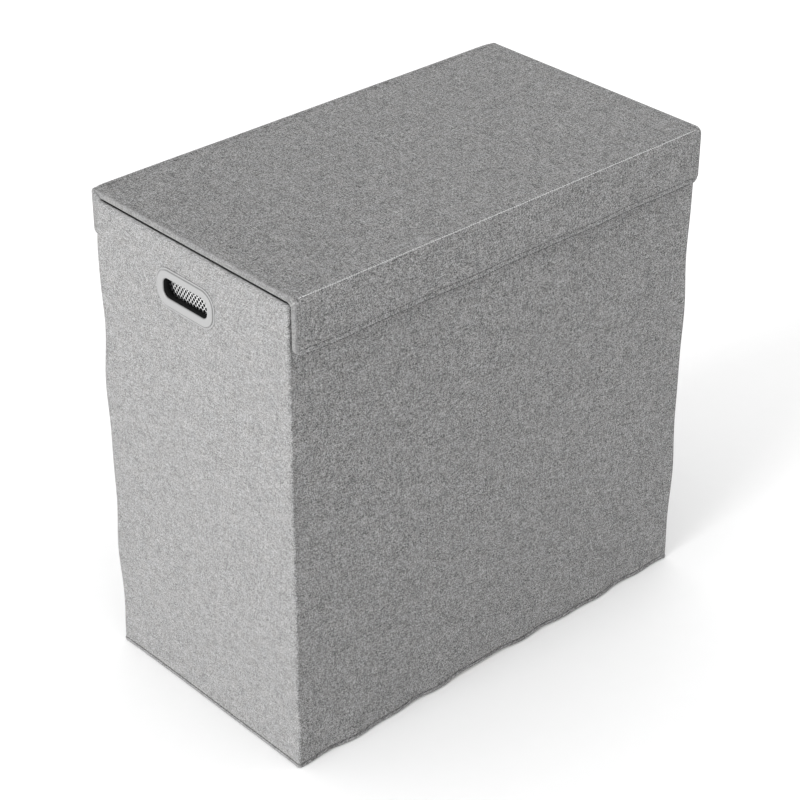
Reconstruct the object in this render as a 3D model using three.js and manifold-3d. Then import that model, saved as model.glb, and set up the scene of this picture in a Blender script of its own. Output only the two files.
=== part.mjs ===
// Two-compartment laundry hamper with a hinged lid: stiff boards inside a linen-look cloth cover,
// two removable net liners, a moulded hand-hole ring in each end, and a lid with two hanging flaps.
// Millimetres, +Z up. The origin is on the floor at the centre of the footprint. The long side runs
// along X, the front wall faces -Y, and the lid's fold along the back top edge is its hinge.
import * as THREE from "three";
import { mergeVertices } from "three/addons/utils/BufferGeometryUtils.js";
import Module from "manifold-3d";

const wasm = await Module();
wasm.setup();

// Driving dimensions.
const BODY_WIDTH = 610;
const BODY_DEPTH = 322;
const BODY_TOP = 595.5;
const LID_WIDTH = 608;
const LID_DEPTH = 342;
const HEIGHT = 605;
const LID_UNDERSIDE = 596.5;
const FLAP_BOTTOM = { front: 537, back: 545 };
const FLAP_CORNER_RADIUS = 11;
const HOLE_CENTRE_Y = 8;
const HOLE_CENTRE_Z = 535;

// Thicknesses of the layers, the clearance between layers that touch, and half the width of the
// fold between the two boards of a long wall.
const CLOTH = 1.2;
const BOARD = 3;
const LINING = 0.8;
const GAP = 0.3;
const FOLD_HALF_GAP = 1.5;

// The boards stop short of the cloth's rounded edges: at the rim, at the upright corners, and at the
// lid's folds.
const BOARD_TOP = 588;
const CORNER_INSET = 2;
const LID_LAYER_HALF_DEPTH = 160;
const FLAP_LAYER_TOP = 591;

// Hand-hole ring: its flange, its opening, and the collar that passes through the wall.
const RING = { width: 100, height: 46, radius: 16, proud: 3, bevel: 0.8 };
const RING_OPENING = { width: 75, height: 24, radius: 9 };
const COLLAR_WALL = 2;
const COLLAR_REACH = 8.2;
const BACKING = { width: 92, height: 41, radius: 15, thickness: 2 };

// The hem that joins the walls to the cloth under the base.
const HEM_HEIGHT = 4;
const HEM_THICKNESS = 2.4;
const BASE_BOARD_TOP = 5;

// Flap layers behind the cloth.
const FLAP_BOARD = 3.5;
const FLAP_DEPTH = 6.4;
const FLAP_LINING = 1.1;
const TAPE = { width: 520, height: 30, thickness: 1.2, bottom: 552 };

// The magnets in the front flap and the steel discs they hold to.
const MAGNET = { diameter: 18, thickness: 2.5, x: 225, z: 560 };

// The lid's layers, counted down from the cover.
const LID_PADDING = 2.1;
const LID_BOARD = 3.2;
const LID_LINING = 1.1;

// Net liners, their cuffs, carrying handles and hanging tabs.
const LINER = { innerX: 6, outerX: 288, halfDepth: 148.2, bottom: 5.3, top: 587 };
const NET = 1.2;
const CUFF_HEIGHT = 27;
const STRAP = { length: 170, width: 25, thickness: 1.4, bow: 3, bottom: 558 };
const TAB = { width: 34, inset: 26, z: 563, innerZ: 573 };

const CURVE_SEGMENTS = 4;
const ROUND_SEGMENTS = 24;

const LINEN = new THREE.MeshStandardMaterial({ color: 0x8f8f8f, roughness: 0.95, metalness: 0 });
const LINING_CLOTH = new THREE.MeshStandardMaterial({ color: 0x6f6f70, roughness: 0.95, metalness: 0 });
const FIBREBOARD = new THREE.MeshStandardMaterial({ color: 0xa58a68, roughness: 0.9, metalness: 0 });
const FOAM = new THREE.MeshStandardMaterial({ color: 0xe6e4de, roughness: 0.95, metalness: 0 });
const NET_CLOTH = new THREE.MeshStandardMaterial({ color: 0xd8d8d6, roughness: 0.8, metalness: 0 });
const WEBBING = new THREE.MeshStandardMaterial({ color: 0x8a8a8a, roughness: 0.85, metalness: 0 });
const RING_PLASTIC = new THREE.MeshStandardMaterial({ color: 0xb4b4b4, roughness: 0.45, metalness: 0 });
const HOOK_AND_LOOP = new THREE.MeshStandardMaterial({ color: 0x2e2e30, roughness: 0.95, metalness: 0 });
const STEEL = new THREE.MeshStandardMaterial({ color: 0x9a9ca0, roughness: 0.35, metalness: 1 });

const FRONT_AND_BACK = [["front", -1], ["back", 1]];
const LEFT_AND_RIGHT = [["left", -1], ["right", 1]];

const hamper = new THREE.Group();

// Adds one named piece to the hamper.
function add(name, geometry, material) {
  const mesh = new THREE.Mesh(geometry, material);
  mesh.name = name;
  hamper.add(mesh);
}

// A box that fills the given ranges; a range's two ends may come in either order.
function box(rangeX, rangeY, rangeZ) {
  const low = new THREE.Vector3(Math.min(...rangeX), Math.min(...rangeY), Math.min(...rangeZ));
  const high = new THREE.Vector3(Math.max(...rangeX), Math.max(...rangeY), Math.max(...rangeZ));
  const size = high.clone().sub(low);
  const centre = low.clone().add(high).multiplyScalar(0.5);
  return new THREE.BoxGeometry(size.x, size.y, size.z).translate(centre.x, centre.y, centre.z);
}

// An outline in the Y-Z plane carried along X from one place to another.
function prismAlongX(shape, rangeX, bevel = 0) {
  const low = Math.min(...rangeX);
  const length = Math.abs(rangeX[1] - rangeX[0]);
  const geometry = new THREE.ExtrudeGeometry(shape, {
    depth: length - 2 * bevel,
    curveSegments: CURVE_SEGMENTS,
    bevelEnabled: bevel > 0,
    bevelThickness: bevel,
    bevelSize: bevel,
    bevelOffset: -bevel,
    bevelSegments: 2,
  });
  const yzx = new THREE.Matrix4().makeBasis(
    new THREE.Vector3(0, 1, 0),
    new THREE.Vector3(0, 0, 1),
    new THREE.Vector3(1, 0, 0),
  );
  return geometry.applyMatrix4(yzx).translate(low + bevel, 0, 0);
}

// An outline in the X-Z plane carried along Y from one place to another.
function prismAlongY(shape, rangeY) {
  const high = Math.max(...rangeY);
  const depth = Math.abs(rangeY[1] - rangeY[0]);
  const curveSegments = CURVE_SEGMENTS;
  const geometry = new THREE.ExtrudeGeometry(shape, { depth, curveSegments, bevelEnabled: false });
  return geometry.rotateX(Math.PI / 2).translate(0, high, 0);
}

// A rectangle with four round corners, centred on (x, y).
function roundedRectangle(x, y, width, height, radius, Outline = THREE.Shape) {
  const right = x + width / 2 - radius;
  const left = x - width / 2 + radius;
  const top = y + height / 2 - radius;
  const bottom = y - height / 2 + radius;
  const outline = new Outline();
  outline.absarc(right, bottom, radius, -Math.PI / 2, 0);
  outline.absarc(right, top, radius, 0, Math.PI / 2);
  outline.absarc(left, top, radius, Math.PI / 2, Math.PI);
  outline.absarc(left, bottom, radius, Math.PI, (3 * Math.PI) / 2);
  outline.closePath();
  return outline;
}

// A hand-hole outline of the given size, grown by a margin all round.
function handHole(size, margin = 0, Outline = THREE.Shape) {
  const width = size.width + 2 * margin;
  const height = size.height + 2 * margin;
  return roundedRectangle(HOLE_CENTRE_Y, HOLE_CENTRE_Z, width, height, size.radius + margin, Outline);
}

// A rectangle with a square top and two round lower corners.
function flapOutline(halfWidth, bottom, top, radius) {
  const outline = new THREE.Shape();
  outline.moveTo(halfWidth, top);
  outline.lineTo(-halfWidth, top);
  outline.absarc(-halfWidth + radius, bottom + radius, radius, Math.PI, (3 * Math.PI) / 2);
  outline.absarc(halfWidth - radius, bottom + radius, radius, -Math.PI / 2, 0);
  outline.closePath();
  return outline;
}

function solidOf(geometry) {
  const bare = geometry.clone();
  bare.deleteAttribute("normal");
  bare.deleteAttribute("uv");
  const merged = mergeVertices(bare, 1e-4);
  const vertProperties = new Float32Array(merged.attributes.position.array);
  const triVerts = new Uint32Array(merged.index.array);
  return new wasm.Manifold(new wasm.Mesh({ numProp: 3, vertProperties, triVerts }));
}

function geometryOf(solid) {
  const { vertProperties, triVerts } = solid.getMesh();
  const geometry = new THREE.BufferGeometry();
  geometry.setAttribute("position", new THREE.BufferAttribute(vertProperties, 3));
  geometry.setIndex(new THREE.BufferAttribute(triVerts, 1));
  return geometry;
}

function joined(...geometries) {
  return geometryOf(geometries.map(solidOf).reduce((whole, piece) => whole.add(piece)));
}

function cut(geometry, ...tools) {
  return geometryOf(tools.map(solidOf).reduce((rest, tool) => rest.subtract(tool), solidOf(geometry)));
}

// Places of the wall layers, as distances from the centre of the hamper.
const halfWidth = BODY_WIDTH / 2;
const halfDepth = BODY_DEPTH / 2;
const wallBottom = HEM_HEIGHT + GAP;
const layerTop = BODY_TOP - CLOTH - GAP;
const layersFrom = (outside) => {
  const board = outside - CLOTH - GAP;
  const lining = board - BOARD - GAP;
  return {
    cloth: [outside - CLOTH, outside],
    board: [board - BOARD, board],
    lining: [lining - LINING, lining],
  };
};
const depthLayers = layersFrom(halfDepth);
const widthLayers = layersFrom(halfWidth);
const times = (sign, range) => range.map((value) => sign * value);
const both = (value) => [-value, value];
const grown = (range) => [Math.min(...range) - 1, Math.max(...range) + 1];

// The front and back walls: a cloth skin turned over the top edge, two boards that meet at the
// middle fold, and a lining. The front boards hold the steel discs for the flap's magnets.
function buildLongWalls() {
  for (const [wall, sign] of FRONT_AND_BACK) {
    const skin = box(both(halfWidth), times(sign, depthLayers.cloth), [wallBottom, BODY_TOP]);
    const turnedEdge = box(
      both(widthLayers.cloth[0] - GAP),
      times(sign, [depthLayers.lining[0], halfDepth]),
      [BODY_TOP - CLOTH, BODY_TOP],
    );
    add(`${wall}_cover`, joined(skin, turnedEdge), LINEN);

    const liningReach = widthLayers.lining[1] - GAP;
    const lining = box(both(liningReach), times(sign, depthLayers.lining), [wallBottom, layerTop]);
    add(`${wall}_lining`, lining, LINING_CLOTH);

    for (const [side, sideSign] of LEFT_AND_RIGHT) {
      const reach = times(sideSign, [FOLD_HALF_GAP, widthLayers.board[0] - GAP]);
      const range = times(sign, depthLayers.board);
      const whole = box(reach, range, [wallBottom, BOARD_TOP]);
      const discX = sideSign * MAGNET.x;
      const board = wall === "front" ? cut(whole, discAlongY(discX, grown(range), GAP)) : whole;
      add(`${wall}_board_${side}`, board, FIBREBOARD);
      if (wall === "front") {
        add(`${side}_catch_plate`, discAlongY(discX, range), STEEL);
      }
    }
  }
}

// A magnet or steel disc that fills the given range of Y, or with a margin the hole it sits in.
function discAlongY(x, rangeY, margin = 0) {
  const radius = MAGNET.diameter / 2 + margin;
  const thickness = Math.abs(rangeY[1] - rangeY[0]);
  const disc = new THREE.CylinderGeometry(radius, radius, thickness, ROUND_SEGMENTS);
  return disc.translate(x, (rangeY[0] + rangeY[1]) / 2, MAGNET.z);
}

// The end walls: the same layers, each with the hand hole cut through, and the ring that lines it.
function buildEndWalls() {
  for (const [end, sign] of LEFT_AND_RIGHT) {
    const throughRange = times(sign, [halfWidth - COLLAR_REACH - RING.proud, halfWidth + RING.proud + 1]);
    const collarOutline = () => handHole(RING_OPENING, COLLAR_WALL + GAP);
    const through = prismAlongX(collarOutline(), throughRange);

    const skinReach = depthLayers.cloth[0] - GAP;
    const skin = box(times(sign, widthLayers.cloth), both(skinReach), [wallBottom, BODY_TOP]);
    const turnedEdge = box(
      times(sign, [widthLayers.lining[0], halfWidth]),
      both(depthLayers.lining[0] - GAP),
      [BODY_TOP - CLOTH, BODY_TOP],
    );
    add(`${end}_cover`, cut(joined(skin, turnedEdge), through), LINEN);

    const boardReach = depthLayers.board[1] - CORNER_INSET;
    const board = box(times(sign, widthLayers.board), both(boardReach), [wallBottom, BOARD_TOP]);
    add(`${end}_board`, cut(board, through), FIBREBOARD);

    const liningReach = depthLayers.lining[0] - GAP;
    const lining = box(times(sign, widthLayers.lining), both(liningReach), [wallBottom, layerTop]);
    add(`${end}_lining`, cut(lining, through), LINING_CLOTH);

    const flangeOutline = handHole(RING);
    flangeOutline.holes.push(handHole(RING_OPENING, 0, THREE.Path));
    const flange = prismAlongX(
      flangeOutline,
      times(sign, [halfWidth + GAP, halfWidth + RING.proud]),
      RING.bevel,
    );
    const tubeOutline = handHole(RING_OPENING, COLLAR_WALL);
    tubeOutline.holes.push(handHole(RING_OPENING, 0, THREE.Path));
    const tubeRange = times(sign, [halfWidth - COLLAR_REACH, halfWidth + RING.proud / 2]);
    const tube = prismAlongX(tubeOutline, tubeRange);
    add(`${end}_handle_ring`, joined(flange, tube), RING_PLASTIC);

    const backingOutline = handHole(BACKING);
    backingOutline.holes.push(handHole(RING_OPENING, COLLAR_WALL + GAP, THREE.Path));
    const backingOutside = widthLayers.lining[0] - GAP;
    const backingRange = times(sign, [backingOutside - BACKING.thickness, backingOutside]);
    add(`${end}_handle_backing`, prismAlongX(backingOutline, backingRange), RING_PLASTIC);
  }
}

// The hem strips under the walls, the cloth under the base and the board that lies on it.
function buildBase() {
  for (const [wall, sign] of FRONT_AND_BACK) {
    const strip = box(both(halfWidth), times(sign, [halfDepth - HEM_THICKNESS, halfDepth]), [0, HEM_HEIGHT]);
    add(`${wall}_hem`, strip, LINEN);
  }
  const insideHem = halfDepth - HEM_THICKNESS - GAP;
  for (const [end, sign] of LEFT_AND_RIGHT) {
    const strip = box(times(sign, [halfWidth - HEM_THICKNESS, halfWidth]), both(insideHem), [0, HEM_HEIGHT]);
    add(`${end}_hem`, strip, LINEN);
  }
  const cloth = box(both(halfWidth - HEM_THICKNESS - GAP), both(insideHem), [0, CLOTH]);
  add("bottom_cloth", cloth, LINING_CLOTH);
  const board = box(
    both(widthLayers.lining[0] - GAP),
    both(depthLayers.lining[0] - GAP),
    [CLOTH + GAP, BASE_BOARD_TOP],
  );
  add("base_board", board, FIBREBOARD);
}

// The lid: a cloth skin turned down at both ends, over padding, a board and a lining.
function buildLid() {
  const foldReach = LID_DEPTH / 2 - GAP;
  const lidHalfWidth = LID_WIDTH / 2;
  const layerHalfWidth = lidHalfWidth - CLOTH - GAP;
  const skin = box(both(lidHalfWidth), both(foldReach), [HEIGHT - CLOTH, HEIGHT]);
  const ends = LEFT_AND_RIGHT.map(([, sign]) =>
    box(times(sign, [lidHalfWidth - CLOTH, lidHalfWidth]), both(LID_LAYER_HALF_DEPTH), [LID_UNDERSIDE, HEIGHT]),
  );
  add("lid_cover", joined(skin, ...ends), LINEN);

  const layers = [
    ["lid_padding", LID_PADDING, FOAM],
    ["lid_board", LID_BOARD, FIBREBOARD],
    ["lid_lining", LID_LINING, LINING_CLOTH],
  ];
  let top = HEIGHT - CLOTH - GAP;
  for (const [name, thickness, material] of layers) {
    add(name, box(both(layerHalfWidth), both(LID_LAYER_HALF_DEPTH), [top - thickness, top]), material);
    top -= thickness + GAP;
  }
}

// The two flaps that hang from the lid's folds. The front flap swings and carries two magnets;
// the back flap is held to the back wall by hook-and-loop tape.
function buildFlaps() {
  const flapHalfWidth = LID_WIDTH / 2;
  const outside = LID_DEPTH / 2;
  const foldTop = HEIGHT - CLOTH - GAP;
  const shoulder = LID_UNDERSIDE - 2 * GAP;
  for (const [wall, sign] of FRONT_AND_BACK) {
    const bottom = FLAP_BOTTOM[wall];
    const whole = prismAlongY(
      flapOutline(flapHalfWidth, bottom, foldTop, FLAP_CORNER_RADIUS),
      times(sign, [outside - FLAP_DEPTH, outside]),
    );
    const hollow = prismAlongY(
      flapOutline(
        flapHalfWidth - CLOTH,
        bottom + CLOTH,
        HEIGHT + 1,
        FLAP_CORNER_RADIUS - CLOTH,
      ),
      times(sign, [outside - FLAP_DEPTH - 1, outside - CLOTH]),
    );
    const aboveShoulder = box(
      both(flapHalfWidth + 1),
      times(sign, [outside - FLAP_DEPTH - 1, outside - CLOTH]),
      [shoulder, HEIGHT + 1],
    );
    add(`${wall}_flap_cover`, cut(whole, hollow, aboveShoulder), LINEN);

    const inset = CLOTH + GAP;
    const layerOutline = () =>
      flapOutline(flapHalfWidth - inset, bottom + inset, FLAP_LAYER_TOP, FLAP_CORNER_RADIUS - inset);
    const boardOutside = outside - CLOTH - GAP;
    const boardRange = times(sign, [boardOutside - FLAP_BOARD, boardOutside]);
    let board = prismAlongY(layerOutline(), boardRange);
    if (wall === "front") {
      const magnetRange = times(sign, [boardOutside - MAGNET.thickness - GAP, boardOutside - GAP]);
      for (const [side, sideSign] of LEFT_AND_RIGHT) {
        board = cut(board, discAlongY(sideSign * MAGNET.x, grown(boardRange), GAP));
        add(`${side}_flap_magnet`, discAlongY(sideSign * MAGNET.x, magnetRange), STEEL);
      }
    }
    add(`${wall}_flap_board`, board, FIBREBOARD);

    const liningOutside = boardOutside - FLAP_BOARD - GAP;
    const lining = prismAlongY(layerOutline(), times(sign, [liningOutside - FLAP_LINING, liningOutside]));
    add(`${wall}_flap_lining`, lining, LINING_CLOTH);
  }

  const tapeHeight = [TAPE.bottom, TAPE.bottom + TAPE.height];
  const loopInside = halfDepth + GAP;
  const hookInside = loopInside + TAPE.thickness + GAP;
  for (const [name, inside] of [["loop_tape", loopInside], ["hook_tape", hookInside]]) {
    const tape = box(both(TAPE.width / 2), [inside, inside + TAPE.thickness], tapeHeight);
    add(name, tape, HOOK_AND_LOOP);
  }
}

// A flat carrying strap that bows a little away from the cuff, as an outline seen from above.
function strapOutline(centreX, againstY, inward) {
  const left = centreX - STRAP.length / 2;
  const right = centreX + STRAP.length / 2;
  const near = againstY;
  const far = againstY + inward * STRAP.thickness;
  const peak = 2 * STRAP.bow * inward;
  const outline = new THREE.Shape();
  outline.moveTo(left, near);
  outline.quadraticCurveTo(centreX, near + peak, right, near);
  outline.lineTo(right, far);
  outline.quadraticCurveTo(centreX, far + peak, left, far);
  outline.closePath();
  return outline;
}

// A tab sewn to the wall's lining that hooks over the cuff of a liner, as an outline in Y and Z.
function tabOutline(sign) {
  const wallSide = depthLayers.lining[0] - GAP;
  const wallLeg = wallSide - CLOTH;
  const insideLeg = LINER.halfDepth - NET - GAP;
  const under = LINER.top + 2 * GAP;
  const points = [
    [wallSide, TAB.z],
    [wallSide, under + CLOTH],
    [insideLeg - CLOTH, under + CLOTH],
    [insideLeg - CLOTH, TAB.innerZ],
    [insideLeg, TAB.innerZ],
    [insideLeg, under],
    [wallLeg, under],
    [wallLeg, TAB.z],
  ];
  return new THREE.Shape(points.map(([y, z]) => new THREE.Vector2(sign * y, z)));
}

// Two net liners side by side, each with a cloth cuff, two carrying straps and four hanging tabs.
function buildLiners() {
  for (const [side, sign] of LEFT_AND_RIGHT) {
    const net = cut(
      box(times(sign, [LINER.innerX, LINER.outerX]), both(LINER.halfDepth), [LINER.bottom, LINER.top]),
      box(
        times(sign, [LINER.innerX + NET, LINER.outerX - NET]),
        both(LINER.halfDepth - NET),
        [LINER.bottom + NET, LINER.top + 1],
      ),
    );
    add(`${side}_liner_net`, net, NET_CLOTH);

    const cuffGrow = GAP + CLOTH;
    const cuffBottom = LINER.top - CUFF_HEIGHT;
    const cuff = cut(
      box(
        times(sign, [LINER.innerX - cuffGrow, LINER.outerX + cuffGrow]),
        both(LINER.halfDepth + cuffGrow),
        [cuffBottom, LINER.top],
      ),
      box(
        times(sign, [LINER.innerX - GAP, LINER.outerX + GAP]),
        both(LINER.halfDepth + GAP),
        [cuffBottom - 1, LINER.top + 1],
      ),
    );
    add(`${side}_liner_cuff`, cuff, LINEN);

    const centreX = (sign * (LINER.innerX + LINER.outerX)) / 2;
    for (const [wall, wallSign] of FRONT_AND_BACK) {
      const against = wallSign * (LINER.halfDepth - NET - GAP);
      const strap = new THREE.ExtrudeGeometry(strapOutline(centreX, against, -wallSign), {
        depth: STRAP.width,
        curveSegments: CURVE_SEGMENTS * 2,
        bevelEnabled: false,
      });
      add(`${side}_liner_${wall}_handle`, strap.translate(0, 0, STRAP.bottom), WEBBING);

      for (const [place, x] of [["inner", LINER.innerX + TAB.inset], ["outer", LINER.outerX - TAB.inset]]) {
        const range = times(sign, [x - TAB.width / 2, x + TAB.width / 2]);
        add(`${side}_liner_${wall}_tab_${place}`, prismAlongX(tabOutline(wallSign), range), WEBBING);
      }
    }
  }
}

buildLongWalls();
buildEndWalls();
buildBase();
buildLid();
buildFlaps();
buildLiners();

export default hamper;
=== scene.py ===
"""Laundry hamper with a lid: the cloth, net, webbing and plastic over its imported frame.

The order of making: the stage and camera, the cloth sleeve and its linings, the lid with its
folds, the handle rings, the net liners, the stitches, and the finishes on the inner boards.
All sizes are in metres, with +Z up and the floor at zero.
"""

import logging
import math
from dataclasses import dataclass, field
from enum import Enum
from typing import Callable, Optional, Sequence

import bmesh
import bpy
import numpy as np
from mathutils import Matrix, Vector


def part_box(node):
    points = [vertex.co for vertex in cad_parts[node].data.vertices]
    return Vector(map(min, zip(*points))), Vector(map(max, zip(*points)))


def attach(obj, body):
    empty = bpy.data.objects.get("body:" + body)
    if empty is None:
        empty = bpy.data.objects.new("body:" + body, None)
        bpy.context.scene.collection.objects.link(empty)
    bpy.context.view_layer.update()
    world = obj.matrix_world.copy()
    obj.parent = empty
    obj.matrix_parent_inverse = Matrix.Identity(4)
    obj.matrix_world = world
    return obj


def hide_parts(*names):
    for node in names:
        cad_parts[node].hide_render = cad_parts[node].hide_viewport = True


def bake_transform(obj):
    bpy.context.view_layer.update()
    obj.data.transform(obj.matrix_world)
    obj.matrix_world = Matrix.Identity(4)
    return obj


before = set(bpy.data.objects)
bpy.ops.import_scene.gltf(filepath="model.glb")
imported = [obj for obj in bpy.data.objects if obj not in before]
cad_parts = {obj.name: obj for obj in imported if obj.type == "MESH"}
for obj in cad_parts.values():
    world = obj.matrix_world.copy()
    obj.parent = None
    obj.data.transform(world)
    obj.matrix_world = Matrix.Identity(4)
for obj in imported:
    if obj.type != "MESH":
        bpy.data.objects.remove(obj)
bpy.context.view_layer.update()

log = logging.getLogger("hamper")

MM = 0.001
SIDES = (("left", -1), ("right", 1))
WALLS = (("front", -1), ("back", 1))


# ---------------------------------------------------------------------------
# Surfaces on grids


@dataclass
class Surface:
    """A surface as points on a grid, with the place of each point on the flat cloth.

    points has rows, columns and XYZ; cloth has rows, columns and UV in metres, with one more
    column where the columns wrap round and one more row where the rows close. kept marks the
    cells that stay, and slot is the number of the finish, for all or for each cell.
    """

    points: np.ndarray
    cloth: np.ndarray
    wraps: bool = False
    closes: bool = False
    kept: Optional[np.ndarray] = None
    slot: int | np.ndarray = 0

    def cells(self) -> tuple[np.ndarray, np.ndarray, np.ndarray]:
        """The four vertex numbers, the four cloth places and the finish of each cell."""
        rows, columns = self.points.shape[:2]
        row, column = np.meshgrid(
            np.arange(rows if self.closes else rows - 1),
            np.arange(columns if self.wraps else columns - 1),
            indexing="ij",
        )
        slot = np.broadcast_to(self.slot, row.shape)
        if self.kept is not None:
            row, column, slot = row[self.kept], column[self.kept], slot[self.kept]
        row, column = row.ravel(), column.ravel()
        down = np.stack([row, row, row + 1, row + 1], axis=1)
        along = np.stack([column, column + 1, column + 1, column], axis=1)
        vertices = (down % rows) * columns + along % columns
        return vertices, self.cloth[down, along], slot.ravel()


def make_piece(
    name: str,
    surfaces: Sequence[Surface],
    finishes: Sequence[bpy.types.Material],
    outward: bool = True,
) -> bpy.types.Object:
    """Makes one mesh object of several surfaces, and joins the edges that meet.

    Args:
        name: The piece's name.
        surfaces: The surfaces, in any order.
        finishes: The materials that the surfaces' slots number.
        outward: Whether the faces are turned to face outward, as on a closed shape.

    Returns:
        The object, at the origin.
    """
    points, faces, places, slots, count = [], [], [], [], 0
    for surface in surfaces:
        corners, cloth, slot = surface.cells()
        points.append(surface.points.reshape(-1, 3))
        faces.append(corners + count)
        places.append(cloth.reshape(-1, 2))
        slots.append(slot)
        count += len(points[-1])
    mesh = bpy.data.meshes.new(name)
    mesh.from_pydata(np.concatenate(points).tolist(), [], np.concatenate(faces).tolist())
    mesh.uv_layers.new(name="cloth").data.foreach_set("uv", np.concatenate(places).ravel())
    mesh.polygons.foreach_set("material_index", np.concatenate(slots))
    mesh.polygons.foreach_set("use_smooth", np.ones(len(mesh.polygons), bool))
    for finish in finishes:
        mesh.materials.append(finish)
    joined = bmesh.new()
    joined.from_mesh(mesh)
    bmesh.ops.remove_doubles(joined, verts=joined.verts, dist=2e-6)
    if outward:
        bmesh.ops.recalc_face_normals(joined, faces=joined.faces)
    joined.to_mesh(mesh)
    joined.free()
    piece = bpy.data.objects.new(name, mesh)
    bpy.context.scene.collection.objects.link(piece)
    log.info("%s: %d faces", name, len(mesh.polygons))
    return piece


def thicken(piece: bpy.types.Object, thickness: float) -> bpy.types.Object:
    """Gives a single surface its thickness, inward from its outer face."""
    solid = piece.modifiers.new("thickness", "SOLIDIFY")
    solid.thickness = thickness
    solid.offset = -1
    return piece


@dataclass
class Outline:
    """A closed outline in a plane: its points, outward normals and lengths along it."""

    points: np.ndarray
    normals: np.ndarray

    @property
    def lengths(self) -> np.ndarray:
        """Distance along the outline of each point, with the full length last."""
        steps = np.linalg.norm(np.roll(self.points, -1, axis=0) - self.points, axis=1)
        return np.concatenate([[0.0], np.cumsum(steps)])


def rounded_outline(
    half_width: float, half_height: float, radius: float, step: float, corner_steps: int = 8
) -> Outline:
    """A rounded rectangle: each corner is a quarter circle, joined by evenly divided sides.

    Args:
        half_width: Half its size along the first axis.
        half_height: Half its size along the second axis.
        radius: The corners' radius.
        step: The longest step along a side.
        corner_steps: Steps round each corner.

    Returns:
        The outline, anticlockwise.
    """
    points, normals = [], []
    for first, second, start in ((1, -1, -90), (1, 1, 0), (-1, 1, 90), (-1, -1, 180)):
        angle = np.radians(start + np.linspace(0, 90, corner_steps + 1))
        normal = np.stack([np.cos(angle), np.sin(angle)], axis=1)
        centre = np.array([first * (half_width - radius), second * (half_height - radius)])
        side = 2 * ((half_width if first * second > 0 else half_height) - radius)
        steps = max(2, math.ceil(side / step))
        along = np.linspace(0, side, steps + 1)[1:-1, None]
        heading = np.array([-normal[-1, 1], normal[-1, 0]])
        points += [centre + radius * normal, centre + radius * normal[-1] + along * heading]
        normals += [normal, np.repeat(normal[-1:], steps - 1, axis=0)]
    return Outline(np.concatenate(points), np.concatenate(normals))


def polyline_lengths(points: np.ndarray) -> np.ndarray:
    """Distance along a run of points."""
    return np.concatenate([[0.0], np.cumsum(np.linalg.norm(np.diff(points, axis=0), axis=1))])


def spaced(start: float, end: float, step: float) -> np.ndarray:
    """Evenly spaced numbers from start to end, no further apart than step."""
    return np.linspace(start, end, max(2, math.ceil(abs(end - start) / step) + 1))


def with_close_ends(places: np.ndarray) -> np.ndarray:
    """Adds a place just inside each end, where a strap's end closes."""
    close = 0.3 * MM
    return np.concatenate([places[:1], places[:1] + close, places[1:-1], places[-1:] - close,
                           places[-1:]])


def smooth_step(value: np.ndarray) -> np.ndarray:
    """Eases from 0 to 1 as value goes from 0 to 1."""
    held = np.clip(value, 0, 1)
    return held * held * (3 - 2 * held)


def bell(distance: np.ndarray, width: float) -> np.ndarray:
    """A bell curve of height 1 whose half-width is about width."""
    return np.exp(-np.square(distance / width))


# A wavelength so long that a wave doesn't change along it.
FAR = 1e9


@dataclass(frozen=True)
class Wave:
    """One slow ripple: its wavelengths along and up the cloth, its size and its phase."""

    along: float
    up: float
    size: float
    phase: float = 0.0

    def at(self, along: np.ndarray, up: np.ndarray) -> np.ndarray:
        """The ripple's height: a sine of both places together."""
        turns = along / self.along + up / self.up
        return self.size * np.sin(2 * math.pi * turns + self.phase)


def ripple(waves: Sequence[Wave], along: np.ndarray, up: np.ndarray) -> np.ndarray:
    """The sum of several waves."""
    return sum(wave.at(along, up) for wave in waves)


def ribbon(path: np.ndarray, across: np.ndarray, width: float, thickness: float) -> Surface:
    """A flat strap: a rounded flat section carried along a path.

    Args:
        path: Points along the strap's middle.
        across: The direction of the strap's width.
        width: The strap's width.
        thickness: The strap's thickness.

    Returns:
        The strap as a tube whose two ends close.
    """
    ahead = np.gradient(path, axis=0)
    ahead /= np.linalg.norm(ahead, axis=1, keepdims=True)
    proud = np.cross(ahead, across)
    angle = np.linspace(0, 2 * math.pi, 20, endpoint=False)
    flat = np.sign(np.cos(angle)) * np.abs(np.cos(angle)) ** 0.25
    thick = np.sin(angle)
    size = np.ones(len(path))
    size[[0, -1]] = 0.0
    size[[1, -2]] = 0.9
    points = (path[:, None] + across * (flat * width / 2)[None, :, None]
              * np.where(size > 0, 1, 0)[:, None, None]
              + proud[:, None] * (thick[None] * size[:, None] * thickness / 2)[..., None])
    run = polyline_lengths(path)
    place = np.concatenate([flat, flat[:1]]) * width / 2
    cloth = np.stack(np.meshgrid(place, run), axis=-1)[..., ::-1]
    return Surface(points, cloth, wraps=True)


# ---------------------------------------------------------------------------
# Finishes


Value = "bpy.types.NodeSocket | float"


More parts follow.
